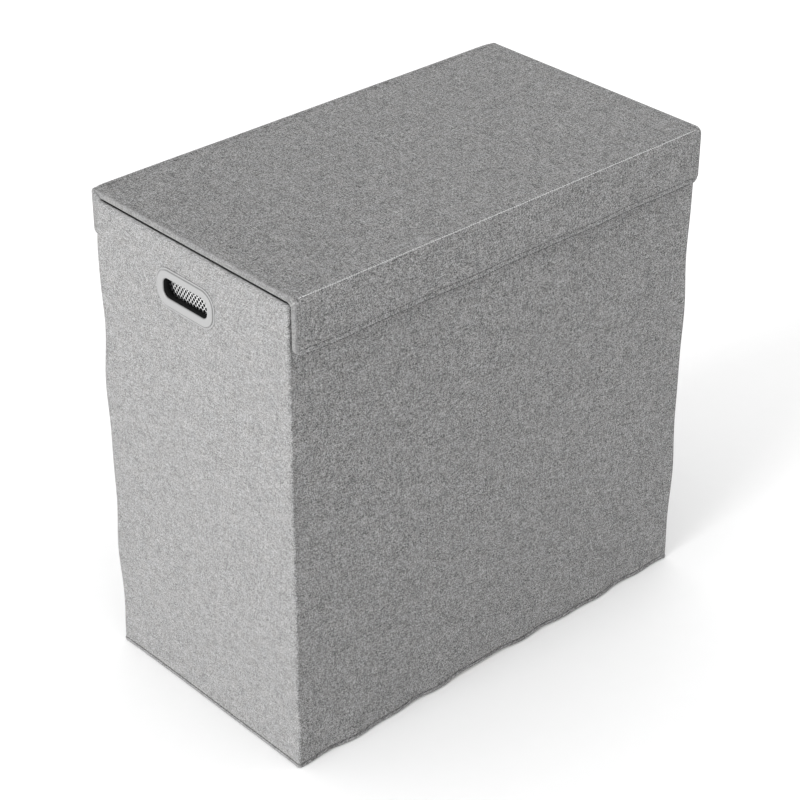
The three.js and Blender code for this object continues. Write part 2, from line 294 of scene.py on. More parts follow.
class Shader:
    """One material's nodes, written as short calls that each return an output socket."""

    def __init__(self, name: str) -> None:
        """Starts an empty material with a Principled shader."""
        self.material = bpy.data.materials.new(name)
        self.material.use_nodes = True
        self.tree = self.material.node_tree
        self.tree.nodes.clear()
        self.output = self.tree.nodes.new("ShaderNodeOutputMaterial")
        self.surface = self.tree.nodes.new("ShaderNodeBsdfPrincipled")
        self.tree.links.new(self.surface.outputs[0], self.output.inputs["Surface"])

    def put(self, value: Value, socket: bpy.types.NodeSocket) -> None:
        """Links a socket, or sets a number or colour."""
        if isinstance(value, bpy.types.NodeSocket):
            self.tree.links.new(value, socket)
        else:
            socket.default_value = value

    def math(self, operation: str, *values: Value) -> bpy.types.NodeSocket:
        """A Math node."""
        node = self.tree.nodes.new("ShaderNodeMath")
        node.operation = operation
        for socket, value in zip(node.inputs, values):
            self.put(value, socket)
        return node.outputs[0]

    def cloth_place(self) -> tuple[bpy.types.NodeSocket, bpy.types.NodeSocket]:
        """The two coordinates on the flat cloth, in metres."""
        place = self.tree.nodes.new("ShaderNodeUVMap")
        place.uv_map = "cloth"
        parts = self.tree.nodes.new("ShaderNodeSeparateXYZ")
        self.put(place.outputs[0], parts.inputs[0])
        return parts.outputs[0], parts.outputs[1]

    def object_place(self) -> bpy.types.NodeSocket:
        """The place in the object's own space, in metres."""
        return self.tree.nodes.new("ShaderNodeTexCoord").outputs["Object"]

    def combined(self, x: Value, y: Value, z: Value = 0.0) -> bpy.types.NodeSocket:
        """A vector of three values."""
        node = self.tree.nodes.new("ShaderNodeCombineXYZ")
        for socket, value in zip(node.inputs, (x, y, z)):
            self.put(value, socket)
        return node.outputs[0]

    def noise(self, vector: Value, scale: float, detail: float = 2.0) -> bpy.types.NodeSocket:
        """A Noise texture's value, about 0.5 on average."""
        node = self.tree.nodes.new("ShaderNodeTexNoise")
        self.put(vector, node.inputs["Vector"])
        node.inputs["Scale"].default_value = scale
        node.inputs["Detail"].default_value = detail
        return node.outputs[0]

    def stretched_noise(self, x: Value, y: Value, width: float, length: float) -> Value:
        """Noise in streaks: width across the first axis and length along the second."""
        place = self.combined(self.math("DIVIDE", x, width), self.math("DIVIDE", y, length))
        return self.noise(place, 1.0, 3.0)

    def chance(self, x: Value, y: Value) -> bpy.types.NodeSocket:
        """A random value from 0 to 1 for each pair of numbers."""
        node = self.tree.nodes.new("ShaderNodeTexWhiteNoise")
        node.noise_dimensions = "2D"
        self.put(self.combined(x, y), node.inputs["Vector"])
        return node.outputs[0]

    def between(self, share: Value, low: tuple, high: tuple) -> bpy.types.NodeSocket:
        """The colour a share of the way from low to high."""
        node = self.tree.nodes.new("ShaderNodeMix")
        node.data_type = "RGBA"
        self.put(share, node.inputs["Factor"])
        self.put((*low, 1.0), node.inputs[6])
        self.put((*high, 1.0), node.inputs[7])
        return node.outputs[2]

    def scaled(self, colour: Value, share: Value) -> bpy.types.NodeSocket:
        """A colour multiplied by a number."""
        node = self.tree.nodes.new("ShaderNodeVectorMath")
        node.operation = "SCALE"
        self.put(colour, node.inputs[0])
        self.put(share, node.inputs["Scale"])
        return node.outputs[0]

    def relief(self, height: Value, depth: float, strength: float = 1.0) -> None:
        """Bumps the surface by a height from 0 to 1 over a depth in metres."""
        node = self.tree.nodes.new("ShaderNodeBump")
        node.inputs["Strength"].default_value = strength
        node.inputs["Distance"].default_value = depth
        self.put(height, node.inputs["Height"])
        self.put(node.outputs[0], self.surface.inputs["Normal"])

    def settings(self, **values: Value) -> None:
        """Sets the Principled shader's inputs by name, with underscores for spaces."""
        for name, value in values.items():
            self.put(value, self.surface.inputs[name.replace("_", " ")])


def tint(level: float, warmth: float = 0.0) -> tuple[float, float, float]:
    """A grey of a linear level, a little warm or cool."""
    return (level * (1 + warmth), level, level * (1 - warmth))


@dataclass(frozen=True)
class WovenFinish:
    """A plain weave of slubby yarns: each thread changes shade along its length.

    The cloth's two coordinates are cut into threads of one pitch. Every thread is cut again
    into lengths with a random shade. Warp and weft show in turn, as in a plain weave, and each
    crossing has a shade of its own. Streaks run both ways for the slubs, a fine grain stands
    for the fuzz, and a soft mottle lies under all.
    """

    name: str
    level: float
    pitch: float = 0.9 * MM
    shade_length: float = 10 * MM
    thread_contrast: float = 0.6
    crossing_contrast: float = 1.6
    slub_contrast: float = 0.7
    slub_width: float = 1.0 * MM
    slub_length: float = 14 * MM
    grain_contrast: float = 2.25
    grain_size: float = 0.6 * MM
    mottle: float = 0.28
    warmth: float = 0.004
    stain: float = 0.014
    depth: float = 0.22 * MM
    roughness: float = 0.92
    sheen: float = 0.06

    def crown(self, shader: Shader, place: Value) -> Value:
        """Height of a round thread across its width: a half sine over each pitch."""
        return shader.math("ABSOLUTE", shader.math("SINE", shader.math("MULTIPLY", place, math.pi)))

    def shade(self, shader: Shader, thread: Value, along: Value) -> Value:
        """A random shade for each length of a thread, offset from thread to thread."""
        offset = shader.chance(thread, 3.7)
        length = shader.math("DIVIDE", along, self.shade_length)
        part = shader.math("FLOOR", shader.math("ADD", length, offset))
        return shader.chance(thread, part)

    def make(self) -> bpy.types.Material:
        """Builds the material."""
        shader = Shader(self.name)
        u, v = shader.cloth_place()
        across = shader.math("DIVIDE", u, self.pitch)
        down = shader.math("DIVIDE", v, self.pitch)
        warp, weft = shader.math("FLOOR", across), shader.math("FLOOR", down)
        parity = shader.math("ADD", warp, weft)
        warp_shows = shader.math("PINGPONG", parity, 1.0)
        warp_shade = self.shade(shader, warp, v)
        weft_shade = self.shade(shader, shader.math("ADD", weft, 5000.0), u)
        difference = shader.math("SUBTRACT", warp_shade, weft_shade)
        shade = shader.math("MULTIPLY_ADD", difference, warp_shows, weft_shade)
        slub_up = shader.stretched_noise(u, v, self.slub_width, self.slub_length)
        slub_across = shader.stretched_noise(v, u, self.slub_width, self.slub_length)
        slub = shader.math("SUBTRACT", shader.math("ADD", slub_up, slub_across), 1.0)
        flat = shader.combined(u, v)
        grain = shader.noise(flat, 1 / self.grain_size, 1.0)
        cloud = shader.noise(flat, 55.0, 3.0)
        tone = 1.0
        for layer, middle, contrast in (
            (shade, 0.5, self.thread_contrast),
            (shader.chance(warp, weft), 0.5, self.crossing_contrast),
            (slub, 0.0, self.slub_contrast),
            (grain, 0.5, self.grain_contrast),
            (cloud, 0.5, self.mottle),
        ):
            tone = shader.math("MULTIPLY_ADD", shader.math("SUBTRACT", layer, middle),
                               contrast, tone)
        share = shader.math("MULTIPLY", shader.math("MAXIMUM", tone, 0.2), 0.5)
        warm = shader.between(shader.noise(flat, 70.0, 2.0), tint(2 * self.level, -self.stain),
                              tint(2 * self.level, self.stain + 2 * self.warmth))
        colour = shader.scaled(warm, share)
        warp_crown = shader.math("MULTIPLY", self.crown(shader, across), warp_shows)
        weft_shows = shader.math("SUBTRACT", 1.0, warp_shows)
        weft_crown = shader.math("MULTIPLY", self.crown(shader, down), weft_shows)
        height = shader.math("ADD", warp_crown, weft_crown)
        height = shader.math("MULTIPLY_ADD", slub, 0.5, height)
        shader.relief(height, self.depth)
        shader.settings(Base_Color=colour, Roughness=self.roughness, Sheen_Weight=self.sheen,
                        Sheen_Roughness=0.6, Specular_IOR_Level=0.2)
        return shader.material


@dataclass(frozen=True)
class NetFinish:
    """Light knitted net: oval holes in staggered columns between soft threads."""

    name: str
    level: float = 0.5
    column_pitch: float = 5.6 * MM
    row_pitch: float = 7.4 * MM
    hole_width: float = 1.8 * MM
    hole_height: float = 2.0 * MM

    def hole(self, shader: Shader, u: Value, v: Value, shift: float) -> Value:
        """How far each point is from a lattice of holes, as a share of a hole's half-size."""
        parts = []
        for place, pitch, half in ((u, self.column_pitch, self.hole_width),
                                   (v, self.row_pitch, self.hole_height)):
            cell = shader.math("ADD", shader.math("DIVIDE", place, pitch), shift)
            centred = shader.math("SUBTRACT", shader.math("FRACT", cell), 0.5)
            scaled = shader.math("MULTIPLY", centred, pitch / half)
            parts.append(shader.math("MULTIPLY", scaled, scaled))
        return shader.math("SQRT", shader.math("ADD", *parts))

    def make(self) -> bpy.types.Material:
        """Builds the material: clear in the holes, and round threads between them."""
        shader = Shader(self.name)
        u, v = shader.cloth_place()
        nearest = shader.math("MINIMUM", self.hole(shader, u, v, 0.0),
                              self.hole(shader, u, v, 0.5))
        thread = shader.math("GREATER_THAN", nearest, 1.0)
        knot = shader.math("MINIMUM", shader.math("SUBTRACT", nearest, 1.0), 0.6)
        fleck = shader.noise(shader.combined(u, v), 1600.0)
        colour = shader.between(fleck, tint(self.level * 0.75), tint(self.level * 1.2))
        shader.relief(knot, 0.9 * MM)
        shader.settings(Base_Color=colour, Roughness=0.7, Sheen_Weight=0.2,
                        Specular_IOR_Level=0.3)
        clear = shader.tree.nodes.new("ShaderNodeBsdfTransparent")
        mix = shader.tree.nodes.new("ShaderNodeMixShader")
        shader.put(thread, mix.inputs[0])
        shader.put(clear.outputs[0], mix.inputs[1])
        shader.put(shader.surface.outputs[0], mix.inputs[2])
        shader.put(mix.outputs[0], shader.output.inputs["Surface"])
        return shader.material


@dataclass(frozen=True)
class WebbingFinish:
    """Flat webbing: fine ribs across its width in a herringbone of two shades."""

    name: str
    level: float = 0.2
    rib: float = 1.1 * MM

    def make(self) -> bpy.types.Material:
        """Builds the material: slanted ribs whose slant changes side at each column."""
        shader = Shader(self.name)
        u, v = shader.cloth_place()
        column = shader.math("PINGPONG", shader.math("DIVIDE", v, 2.5 * self.rib), 1.0)
        slanted = shader.math("ADD", shader.math("DIVIDE", u, self.rib), column)
        half_turns = shader.math("MULTIPLY", slanted, math.pi)
        rib = shader.math("ABSOLUTE", shader.math("SINE", half_turns))
        fleck = shader.noise(shader.combined(u, v), 2200.0)
        share = shader.math("MULTIPLY", shader.math("ADD", rib, fleck), 0.5)
        colour = shader.between(share, tint(self.level * 0.6), tint(self.level * 1.35))
        shader.relief(rib, 0.35 * MM)
        shader.settings(Base_Color=colour, Roughness=0.75, Sheen_Weight=0.15,
                        Specular_IOR_Level=0.3)
        return shader.material


@dataclass(frozen=True)
class SpeckledFinish:
    """A plain solid stuff with fine flecks and a fine grain, such as board, foam or plastic."""

    name: str
    low: tuple[float, float, float]
    high: tuple[float, float, float]
    scale: float = 900.0
    depth: float = 0.05 * MM
    roughness: float = 0.8
    roughness_spread: float = 0.1
    metallic: float = 0.0
    specular: float = 0.4
    cloudiness: float = 0.25

    def make(self) -> bpy.types.Material:
        """Builds the material: fine flecks over broad soft clouds."""
        shader = Shader(self.name)
        place = shader.object_place()
        fleck = shader.noise(place, self.scale, 4.0)
        cloud = shader.math("SUBTRACT", shader.noise(place, 14.0), 0.5)
        share = shader.math("MULTIPLY_ADD", cloud, self.cloudiness, fleck)
        rough = shader.math("MULTIPLY_ADD", shader.math("SUBTRACT", fleck, 0.5),
                            self.roughness_spread, self.roughness)
        shader.relief(fleck, self.depth)
        shader.settings(Base_Color=shader.between(share, self.low, self.high), Roughness=rough,
                        Metallic=self.metallic, Specular_IOR_Level=self.specular)
        return shader.material


@dataclass(frozen=True)
class HookFinish:
    """Hook-and-loop tape: a close field of tiny hooks in rows."""

    name: str
    level: float = 0.05
    pitch: float = 1.4 * MM

    def make(self) -> bpy.types.Material:
        """Builds the material: a round spot in each cell of a fine grid."""
        shader = Shader(self.name)
        spots = shader.tree.nodes.new("ShaderNodeTexVoronoi")
        shader.put(shader.object_place(), spots.inputs["Vector"])
        spots.inputs["Scale"].default_value = 1 / self.pitch
        spots.inputs["Randomness"].default_value = 0.45
        near = spots.outputs["Distance"]
        shader.relief(near, 0.9 * MM)
        shader.settings(Base_Color=shader.between(near, tint(self.level * 2), tint(self.level)),
                        Roughness=0.85, Sheen_Weight=0.3, Specular_IOR_Level=0.3)
        return shader.material


class Finishes:
    """Every finish on the hamper, made once."""

    def __init__(self) -> None:
        """Makes the materials."""
        self.linen = WovenFinish("linen", level=0.219).make()
        # Painted light: the end walls get a slightly lighter copy of the linen, with a softer
        # weave, so they show more of the key light than the lamp alone gives them.
        self.end_linen_painted_lighter = WovenFinish("end_linen_painted_lighter", level=0.226, thread_contrast=0.4,
                                     crossing_contrast=1.0, slub_contrast=0.45,
                                     grain_contrast=1.45, mottle=0.2).make()
        # Painted shade: a darker copy of the linen for the rounded ends of the lid panels, toning
        # down where the key light catches them; the back flap's tape uses it too.
        self.rim_linen_painted_darker = WovenFinish("rim_linen_painted_darker", level=0.19, thread_contrast=0.4,
                                     crossing_contrast=0.8, slub_contrast=0.6,
                                     grain_contrast=1.4, mottle=0.2).make()
        self.lining = WovenFinish("lining", level=0.30, pitch=0.45 * MM, shade_length=30 * MM,
                                  thread_contrast=0.16, crossing_contrast=0.15,
                                  slub_contrast=0.12, grain_contrast=0.2, mottle=0.1,
                                  depth=0.08 * MM).make()
        self.net = NetFinish("net").make()
        self.webbing = WebbingFinish("webbing").make()
        # A darker thread for the lid's topstitched seam, partly painted shade: its dark tone stands
        # in for the shade in the seam's valley.
        self.seam_thread_with_painted_shade = SpeckledFinish("seam_thread_with_painted_shade", tint(0.12), tint(0.2), scale=2500.0,
                                          depth=0.1 * MM, roughness=0.8).make()
        # Light thread for the liner's stitches and the lid's fold ridge; on the ridge its lightness
        # is partly a painted highlight where the crest catches the light.
        self.thread = SpeckledFinish("thread", tint(0.5), tint(0.65), scale=2500.0,
                                     depth=0.1 * MM, roughness=0.65).make()
        # Painted shadow: near-black thread laid in the hem's seam groove and along the flap's
        # bottom edge and seam, standing in for the shade in those grooves and gaps.
        self.painted_shadow_thread = SpeckledFinish("painted_shadow_thread", tint(0.03), tint(0.07), scale=2500.0,
                                          depth=0.1 * MM, roughness=0.8).make()
        self.plastic = SpeckledFinish("ring_plastic", tint(0.23), tint(0.25), scale=1500.0,
                                      depth=0.02 * MM, roughness=0.45,
                                      cloudiness=0.08, specular=0.4).make()
        self.dark_plastic = SpeckledFinish("collar_plastic", tint(0.004), tint(0.007),
                                           scale=1500.0, depth=0.02 * MM, roughness=0.8,
                                           cloudiness=0.08, specular=0.12).make()
        self.fibreboard = SpeckledFinish("fibreboard", (0.23, 0.16, 0.10), (0.42, 0.32, 0.22),
                                         scale=700.0, depth=0.12 * MM, roughness=0.9).make()
        self.foam = SpeckledFinish("foam", tint(0.72, 0.02), tint(0.85, 0.02), scale=650.0,
                                   depth=0.3 * MM, roughness=0.95).make()
        self.hook = HookFinish("hook_and_loop").make()
        self.steel = SpeckledFinish("steel", tint(0.5), tint(0.62), scale=500.0,
                                    depth=0.01 * MM, roughness=0.3, metallic=1.0).make()


# ---------------------------------------------------------------------------
# Stitches


@dataclass
class Stitches:
    """Sewing thread on the cloth: many short rounded stitches in one piece.

    Each stitch is a stretched ball: its radius across is a half circle of the place along it.
    """

    name: str
    pitch: float = 3.6 * MM
    fill: float = 0.72
    width: float = 0.55 * MM
    proud: float = 0.3 * MM
    starts: list[np.ndarray] = field(default_factory=list)
    ends: list[np.ndarray] = field(default_factory=list)
    normals: list[np.ndarray] = field(default_factory=list)

    def sew(self, place: Callable[[np.ndarray], np.ndarray], length: float,
            normal: Callable[[np.ndarray], np.ndarray]) -> None:
        """Adds one row of stitches.

        Args:
            place: Gives points for distances along the row.
            length: The row's length.
            normal: Gives the cloth's outward normals for distances along the row.
        """
        count = max(1, int(length / self.pitch))
        middle = (np.arange(count) + 0.5) * length / count
        half = self.fill * self.pitch / 2
        self.starts.append(place(middle - half))
        self.ends.append(place(middle + half))
        self.normals.append(normal(middle))

    def make(self, finish: bpy.types.Material) -> bpy.types.Object:
        """Builds all the rows as one piece."""
        start, end = np.concatenate(self.starts), np.concatenate(self.ends)
        normal = np.concatenate(self.normals)
        along = (end - start) / 2
        across = np.cross(along, normal)
        across /= np.linalg.norm(across, axis=1, keepdims=True)
        station = np.array([-1.0, -0.8, 0.0, 0.8, 1.0])[:, None]
        angle = np.linspace(0, 2 * math.pi, 6, endpoint=False)[None]
        round_off = np.sqrt(1 - station**2)
        middle = ((start + end) / 2)[:, None, None]
        points = (middle + along[:, None, None] * station[..., None]
                  + normal[:, None, None] * (self.proud * round_off * np.cos(angle))[..., None]
                  + across[:, None, None] * (self.width / 2 * round_off * np.sin(angle))[..., None])
        cloth = np.stack(np.broadcast_arrays(station * 0.001, np.linspace(0, 0.001, 7)[None]), -1)
        surfaces = [Surface(one, cloth, wraps=True) for one in points]
        return make_piece(self.name, surfaces, [finish])


# ---------------------------------------------------------------------------
# The body: the cloth sleeve, its lining and its floor


@dataclass
class WallCloth:
    """A band of cloth round the hamper: a profile carried round a rounded rectangle.

    A point lies at the outline's point, moved outward by the profile's offset and by the
    ripples of the cloth. Cells inside the hand holes are left out.
    """

    name: str
    half_width: float
    half_depth: float
    radius: float
    profile: np.ndarray
    thickness: float = 0.8 * MM
    step: float = 6 * MM
    hole_centre: tuple[float, float] = (8 * MM, 535 * MM)
    hole_half: tuple[float, float] = (42 * MM, 17 * MM)

    def outward(self, points: np.ndarray, normals: np.ndarray, up: np.ndarray) -> np.ndarray:
        """How far the cloth stands out beyond its profile: not at all unless it ripples."""
        return np.zeros(np.broadcast_shapes(points.shape[:1], up.shape))

    def lift(self, points: np.ndarray, up: np.ndarray) -> np.ndarray:
        """How far the cloth is lifted: not at all unless its hem waves."""
        return np.zeros(np.broadcast_shapes(points.shape[:1], up.shape))

    def surface(self) -> Surface:
        """The band's points."""
        outline = rounded_outline(self.half_width, self.half_depth, self.radius, self.step, 6)
        offset, up = self.profile[:, :1], self.profile[:, 1:]
        out = offset + self.outward(outline.points, outline.normals, up)
        flat = outline.points[None] + outline.normals[None] * out[..., None]
        height = up + self.lift(outline.points, up)
        points = np.concatenate([flat, height[..., None]], axis=2)
        steps = np.linalg.norm(np.roll(flat, -1, axis=1) - flat, axis=2)
        along = np.pad(np.cumsum(steps, axis=1), ((0, 0), (1, 0)))
        down = polyline_lengths(self.profile)
        cloth = np.stack(np.broadcast_arrays(along, down[:, None]), axis=-1)
        middle = (points[1:] + points[:-1] + np.roll(points[1:] + points[:-1], -1, axis=1)) / 4
        facing_end = np.abs(outline.normals[:, 0])
        facing_end = (facing_end + np.roll(facing_end, -1)) / 2
        at_end = np.broadcast_to(facing_end > 0.7, middle.shape[:2])
        in_hole = (np.abs(middle[..., 1] - self.hole_centre[0]) < self.hole_half[0]) & (
            np.abs(middle[..., 2] - self.hole_centre[1]) < self.hole_half[1])
        return Surface(points, cloth, wraps=True, kept=~(at_end & in_hole),
                       slot=at_end.astype(int))

    def build(self, finish: bpy.types.Material, end_finish: bpy.types.Material
              ) -> bpy.types.Object:
        """Builds the band with its thickness, with one finish for the two end walls."""
        piece = make_piece(self.name, [self.surface()], [finish, end_finish])
        return thicken(piece, self.thickness)


@dataclass
class Sleeve(WallCloth):
    """The outer cloth: turned under at the hem, up the walls, over the rim and a little down.

    Its long walls lean out a little towards the floor, its front hem waves, and its upright
    corners wander where the boards inside push the cloth unevenly.
    """

    lean: float = 0.5 * MM
    hem_rise: float = 2.0 * MM
    crease_depth: float = 0.45 * MM
    hem_seam: float = 4.6 * MM
    hem_groove: float = 0.9 * MM
    hem_groove_width: float = 0.9 * MM
    hem_bulge: float = 0.6 * MM
    hem_bulge_reach: float = 28 * MM
    hem_lift_reach: float = 30 * MM
    crease_width: float = 3.5 * MM
    crease_start: float = 120 * MM
    below_rim_height: float = 590 * MM
    below_rim_fade: float = 60 * MM
    end_corner_reach: float = 45 * MM
    back_corner_reach: float = 70 * MM
    wall_waves: tuple[Wave, ...] = (
        Wave(310 * MM, 420 * MM, 0.3 * MM, 1.0),
        Wave(170 * MM, -290 * MM, 0.22 * MM, 2.2),
    )
    corner_out: float = 1.5 * MM
    right_out: float = 2.0 * MM
    back_out: float = 2.6 * MM
    corner_waves: tuple[Wave, ...] = (
        Wave(FAR, 210 * MM, 1.1 * MM, -2.6),
        Wave(FAR, 118 * MM, 0.6 * MM, 0.7),
    )
    hem_waves: tuple[Wave, ...] = (
        Wave(68 * MM, FAR, 1.0 * MM, 0.39),
        Wave(125 * MM, FAR, 0.9 * MM, 2.8),
        Wave(340 * MM, FAR, 1.2 * MM, 2.1),
    )

    def outward(self, points: np.ndarray, normals: np.ndarray, up: np.ndarray) -> np.ndarray:
        """The lean, the slow ripples, the wandering corners, the crease and the hem's bulge."""
        x, y = points[:, 0][None], points[:, 1][None]
        long_wall = np.abs(normals[:, 1])[None]
        end_wall = np.abs(normals[:, 0])[None]
        front = np.clip(-normals[:, 1], 0, 1)[None]
        back = np.clip(normals[:, 1], 0, 1)[None]
        right = np.clip(normals[:, 0], 0, 1)[None]
        below_rim = smooth_step((self.below_rim_height - up) / self.below_rim_fade)
        low = np.clip(1 - up / self.below_rim_height, 0, 1)
        out = long_wall * self.lean * low
        out = out + below_rim * ripple(self.wall_waves, x + 0.7 * y, up)
        near_corner = np.exp((np.abs(y) - self.half_depth) / self.end_corner_reach) * end_wall
        waves = self.corner_out + ripple(self.corner_waves, x, up)
        out = out + below_rim * near_corner * (self.right_out * right + waves)
        near_corner = np.exp((np.abs(x) - self.half_width) / self.back_corner_reach) * long_wall
        out = out + below_rim * near_corner * back * (self.back_out + waves)
        crease_fade = smooth_step((up - self.crease_start) / self.crease_start)
        crease = bell(x, self.crease_width) * crease_fade
        out = out - front * below_rim * self.crease_depth * crease
        near_floor = np.exp(-up / self.hem_bulge_reach)
        bulge = self.hem_bulge - 1.2 * ripple(self.hem_waves, x, up)
        out = out - front * self.hem_groove * bell(up - self.hem_seam, self.hem_groove_width)
        return out + front * near_floor * np.maximum(bulge, -self.hem_bulge)

    def lift(self, points: np.ndarray, up: np.ndarray) -> np.ndarray:
        """The front hem rises off the floor at its middle and where its wave is high."""
        x, y = points[:, 0][None], points[:, 1][None]
        front = smooth_step((-y - self.half_depth + self.hem_lift_reach) / self.hem_lift_reach)
        high = np.maximum(0.7 * ripple(self.hem_waves, x, up), 0)
        rise = self.hem_rise * np.clip(1 - (x / self.half_width) ** 2, 0, 1)
        return front * (high + rise) * np.exp(-up / self.hem_lift_reach)


@dataclass
class FlatPanel:
    """A flat sewn panel with rounded edges, such as the floor cloth.

    Its half-thickness rises from zero at the edge to full over a rounded rim, as a quarter of
    a superellipse, so top and bottom meet all round.
    """

    name: str
    half_width: float
    half_depth: float
    bottom: float
    thickness: float
    rim: float = 1.5 * MM
    step: float = 9 * MM

    def build(self, finish: bpy.types.Material) -> bpy.types.Object:
        """Builds the closed panel."""
        def stations(half: float) -> np.ndarray:
            """Places across the panel, close together at the rims."""
            edge = half - self.rim * np.array([0.0, 0.1, 0.35, 1.0])
            inner = spaced(half - 6 * self.rim, -half + 6 * self.rim, self.step)
            return np.concatenate([edge, inner, -edge[::-1]])

        x, y = np.meshgrid(stations(self.half_width), stations(self.half_depth))
        inset = np.minimum(self.half_width - np.abs(x), self.half_depth - np.abs(y))
        share = np.power(1 - np.power(1 - np.clip(inset / self.rim, 0, 1), 2.2), 1 / 2.2)
        middle = self.bottom + self.thickness / 2
        cloth = np.stack([x, y], axis=-1)
        faces = [Surface(np.stack([x, y, middle + side * share * self.thickness / 2], -1), cloth)
                 for side in (-1, 1)]
        return make_piece(self.name, faces, [finish])


@dataclass
class Body:
    """The hamper's body: sleeve, lining, floor cloth and the stitches of the hem."""

    half_width: float = 305 * MM
    half_depth: float = 161 * MM
    corner_radius: float = 3.2 * MM
    rim_top: float = 594.2 * MM
    rim_start: float = 588 * MM
    wall_depth: float = 5.6 * MM
    hem_seam: float = 4.6 * MM
    facing_bottom: float = 566 * MM
    lining_top: float = 590 * MM

    def sleeve_profile(self) -> np.ndarray:
        """Offset and height from the hem's turned edge to the end of the facing inside.

        The rim is a half ellipse from the outer face to the inner face.
        """
        hem = np.array([[-1.7, 1.6], [-1.5, 0.7], [-0.9, 0.25], [-0.2, 0.3], [0.4, 0.8],
                        [0.75, 1.8], [0.8, 3.0], [0.55, 3.9], [0.1, 4.3], [-0.75, 4.6],
                        [-0.55, 5.0], [-0.05, 5.6], [0.15, 6.8], [0.1, 9.0], [0.0, 13.0]]) * MM
        wall = spaced(18 * MM, self.rim_start, 6 * MM)
        turn = np.linspace(0, math.pi, 13)[1:]
        rise = self.rim_top - self.rim_start
        rim = np.stack([(np.cos(turn) - 1) * self.wall_depth / 2,
                        self.rim_start + rise * np.sin(turn)], axis=1)
        inner = spaced(self.rim_start - 4 * MM, self.facing_bottom, 6 * MM)
        return np.concatenate([
            hem,
            np.stack([np.zeros_like(wall), wall], axis=1),
            rim,
            np.stack([np.full_like(inner, -self.wall_depth - 0.1 * MM), inner], axis=1),
        ])

    def build(self, finishes: Finishes) -> None:
        """Builds the pieces and hangs them on the body."""
        sleeve_maker = Sleeve("body_sleeve", self.half_width, self.half_depth,
                              self.corner_radius, self.sleeve_profile())
        # The end walls take the lighter copy of the linen: painted light from the key.
        sleeve = sleeve_maker.build(finishes.linen, finishes.end_linen_painted_lighter)
        covers = [f"{wall}_{part}" for wall in ("front", "back", "left", "right")
                  for part in ("cover", "hem")]
        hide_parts(*covers)
        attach(sleeve, "body")

        rows = spaced(5.6 * MM, self.lining_top, 9 * MM)
        profile = np.stack([np.zeros_like(rows), rows], axis=1)
        inset = self.wall_depth - 0.8 * MM
        lining = WallCloth("body_lining", self.half_width - inset, self.half_depth - inset,
                           2.5 * MM, profile, thickness=0.6 * MM,
                           step=9 * MM).build(finishes.lining, finishes.lining)
        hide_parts(*[f"{wall}_lining" for wall in ("front", "back", "left", "right")])
        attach(lining, "body")

        floor_cloth = FlatPanel("floor_cloth", self.half_width - 3.2 * MM,
                                self.half_depth - 3.2 * MM, 0.0, 1.2 * MM).build(finishes.lining)
        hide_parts("bottom_cloth")
        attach(floor_cloth, "body")
        self.sew(sleeve_maker, finishes)

    def sew(self, sleeve: Sleeve, finishes: Finishes) -> None:
        """Sews the row of stitches in the hem's seam, all round, in near-black thread that paints
        the groove's shadow.
        """
        outline = rounded_outline(self.half_width, self.half_depth, self.corner_radius, 6 * MM, 6)
        lengths = outline.lengths
        up = np.array([[self.hem_seam]])
        out = sleeve.outward(outline.points, outline.normals, up)[0] - 0.25 * MM
        flat = outline.points + outline.normals * out[:, None]
        height = self.hem_seam + sleeve.lift(outline.points, up)[0]
        ring = np.column_stack([flat, height])
        ring = np.concatenate([ring, ring[:1]])
        facing = np.column_stack([outline.normals, np.zeros(len(flat))])
        facing = np.concatenate([facing, facing[:1]])

        def followed(values: np.ndarray) -> Callable[[np.ndarray], np.ndarray]:
            """Values along the ring, by distance."""
            return lambda at: np.stack(
                [np.interp(at, lengths, values[:, axis]) for axis in range(3)], axis=1)

        # The hem's stitches are near-black: painted shadow for the seam's groove.
        stitches = Stitches("hem_stitches", pitch=5.2 * MM, fill=0.9, width=1.2 * MM)
        stitches.sew(followed(ring), lengths[-1], followed(facing))
        piece = stitches.make(finishes.painted_shadow_thread)
        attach(piece, "body")


# ---------------------------------------------------------------------------
# The lid and its two folded flaps


class Fold(Enum):
    """Which long edge of the lid a folded panel turns down over."""

    FRONT = -1
    BACK = 1


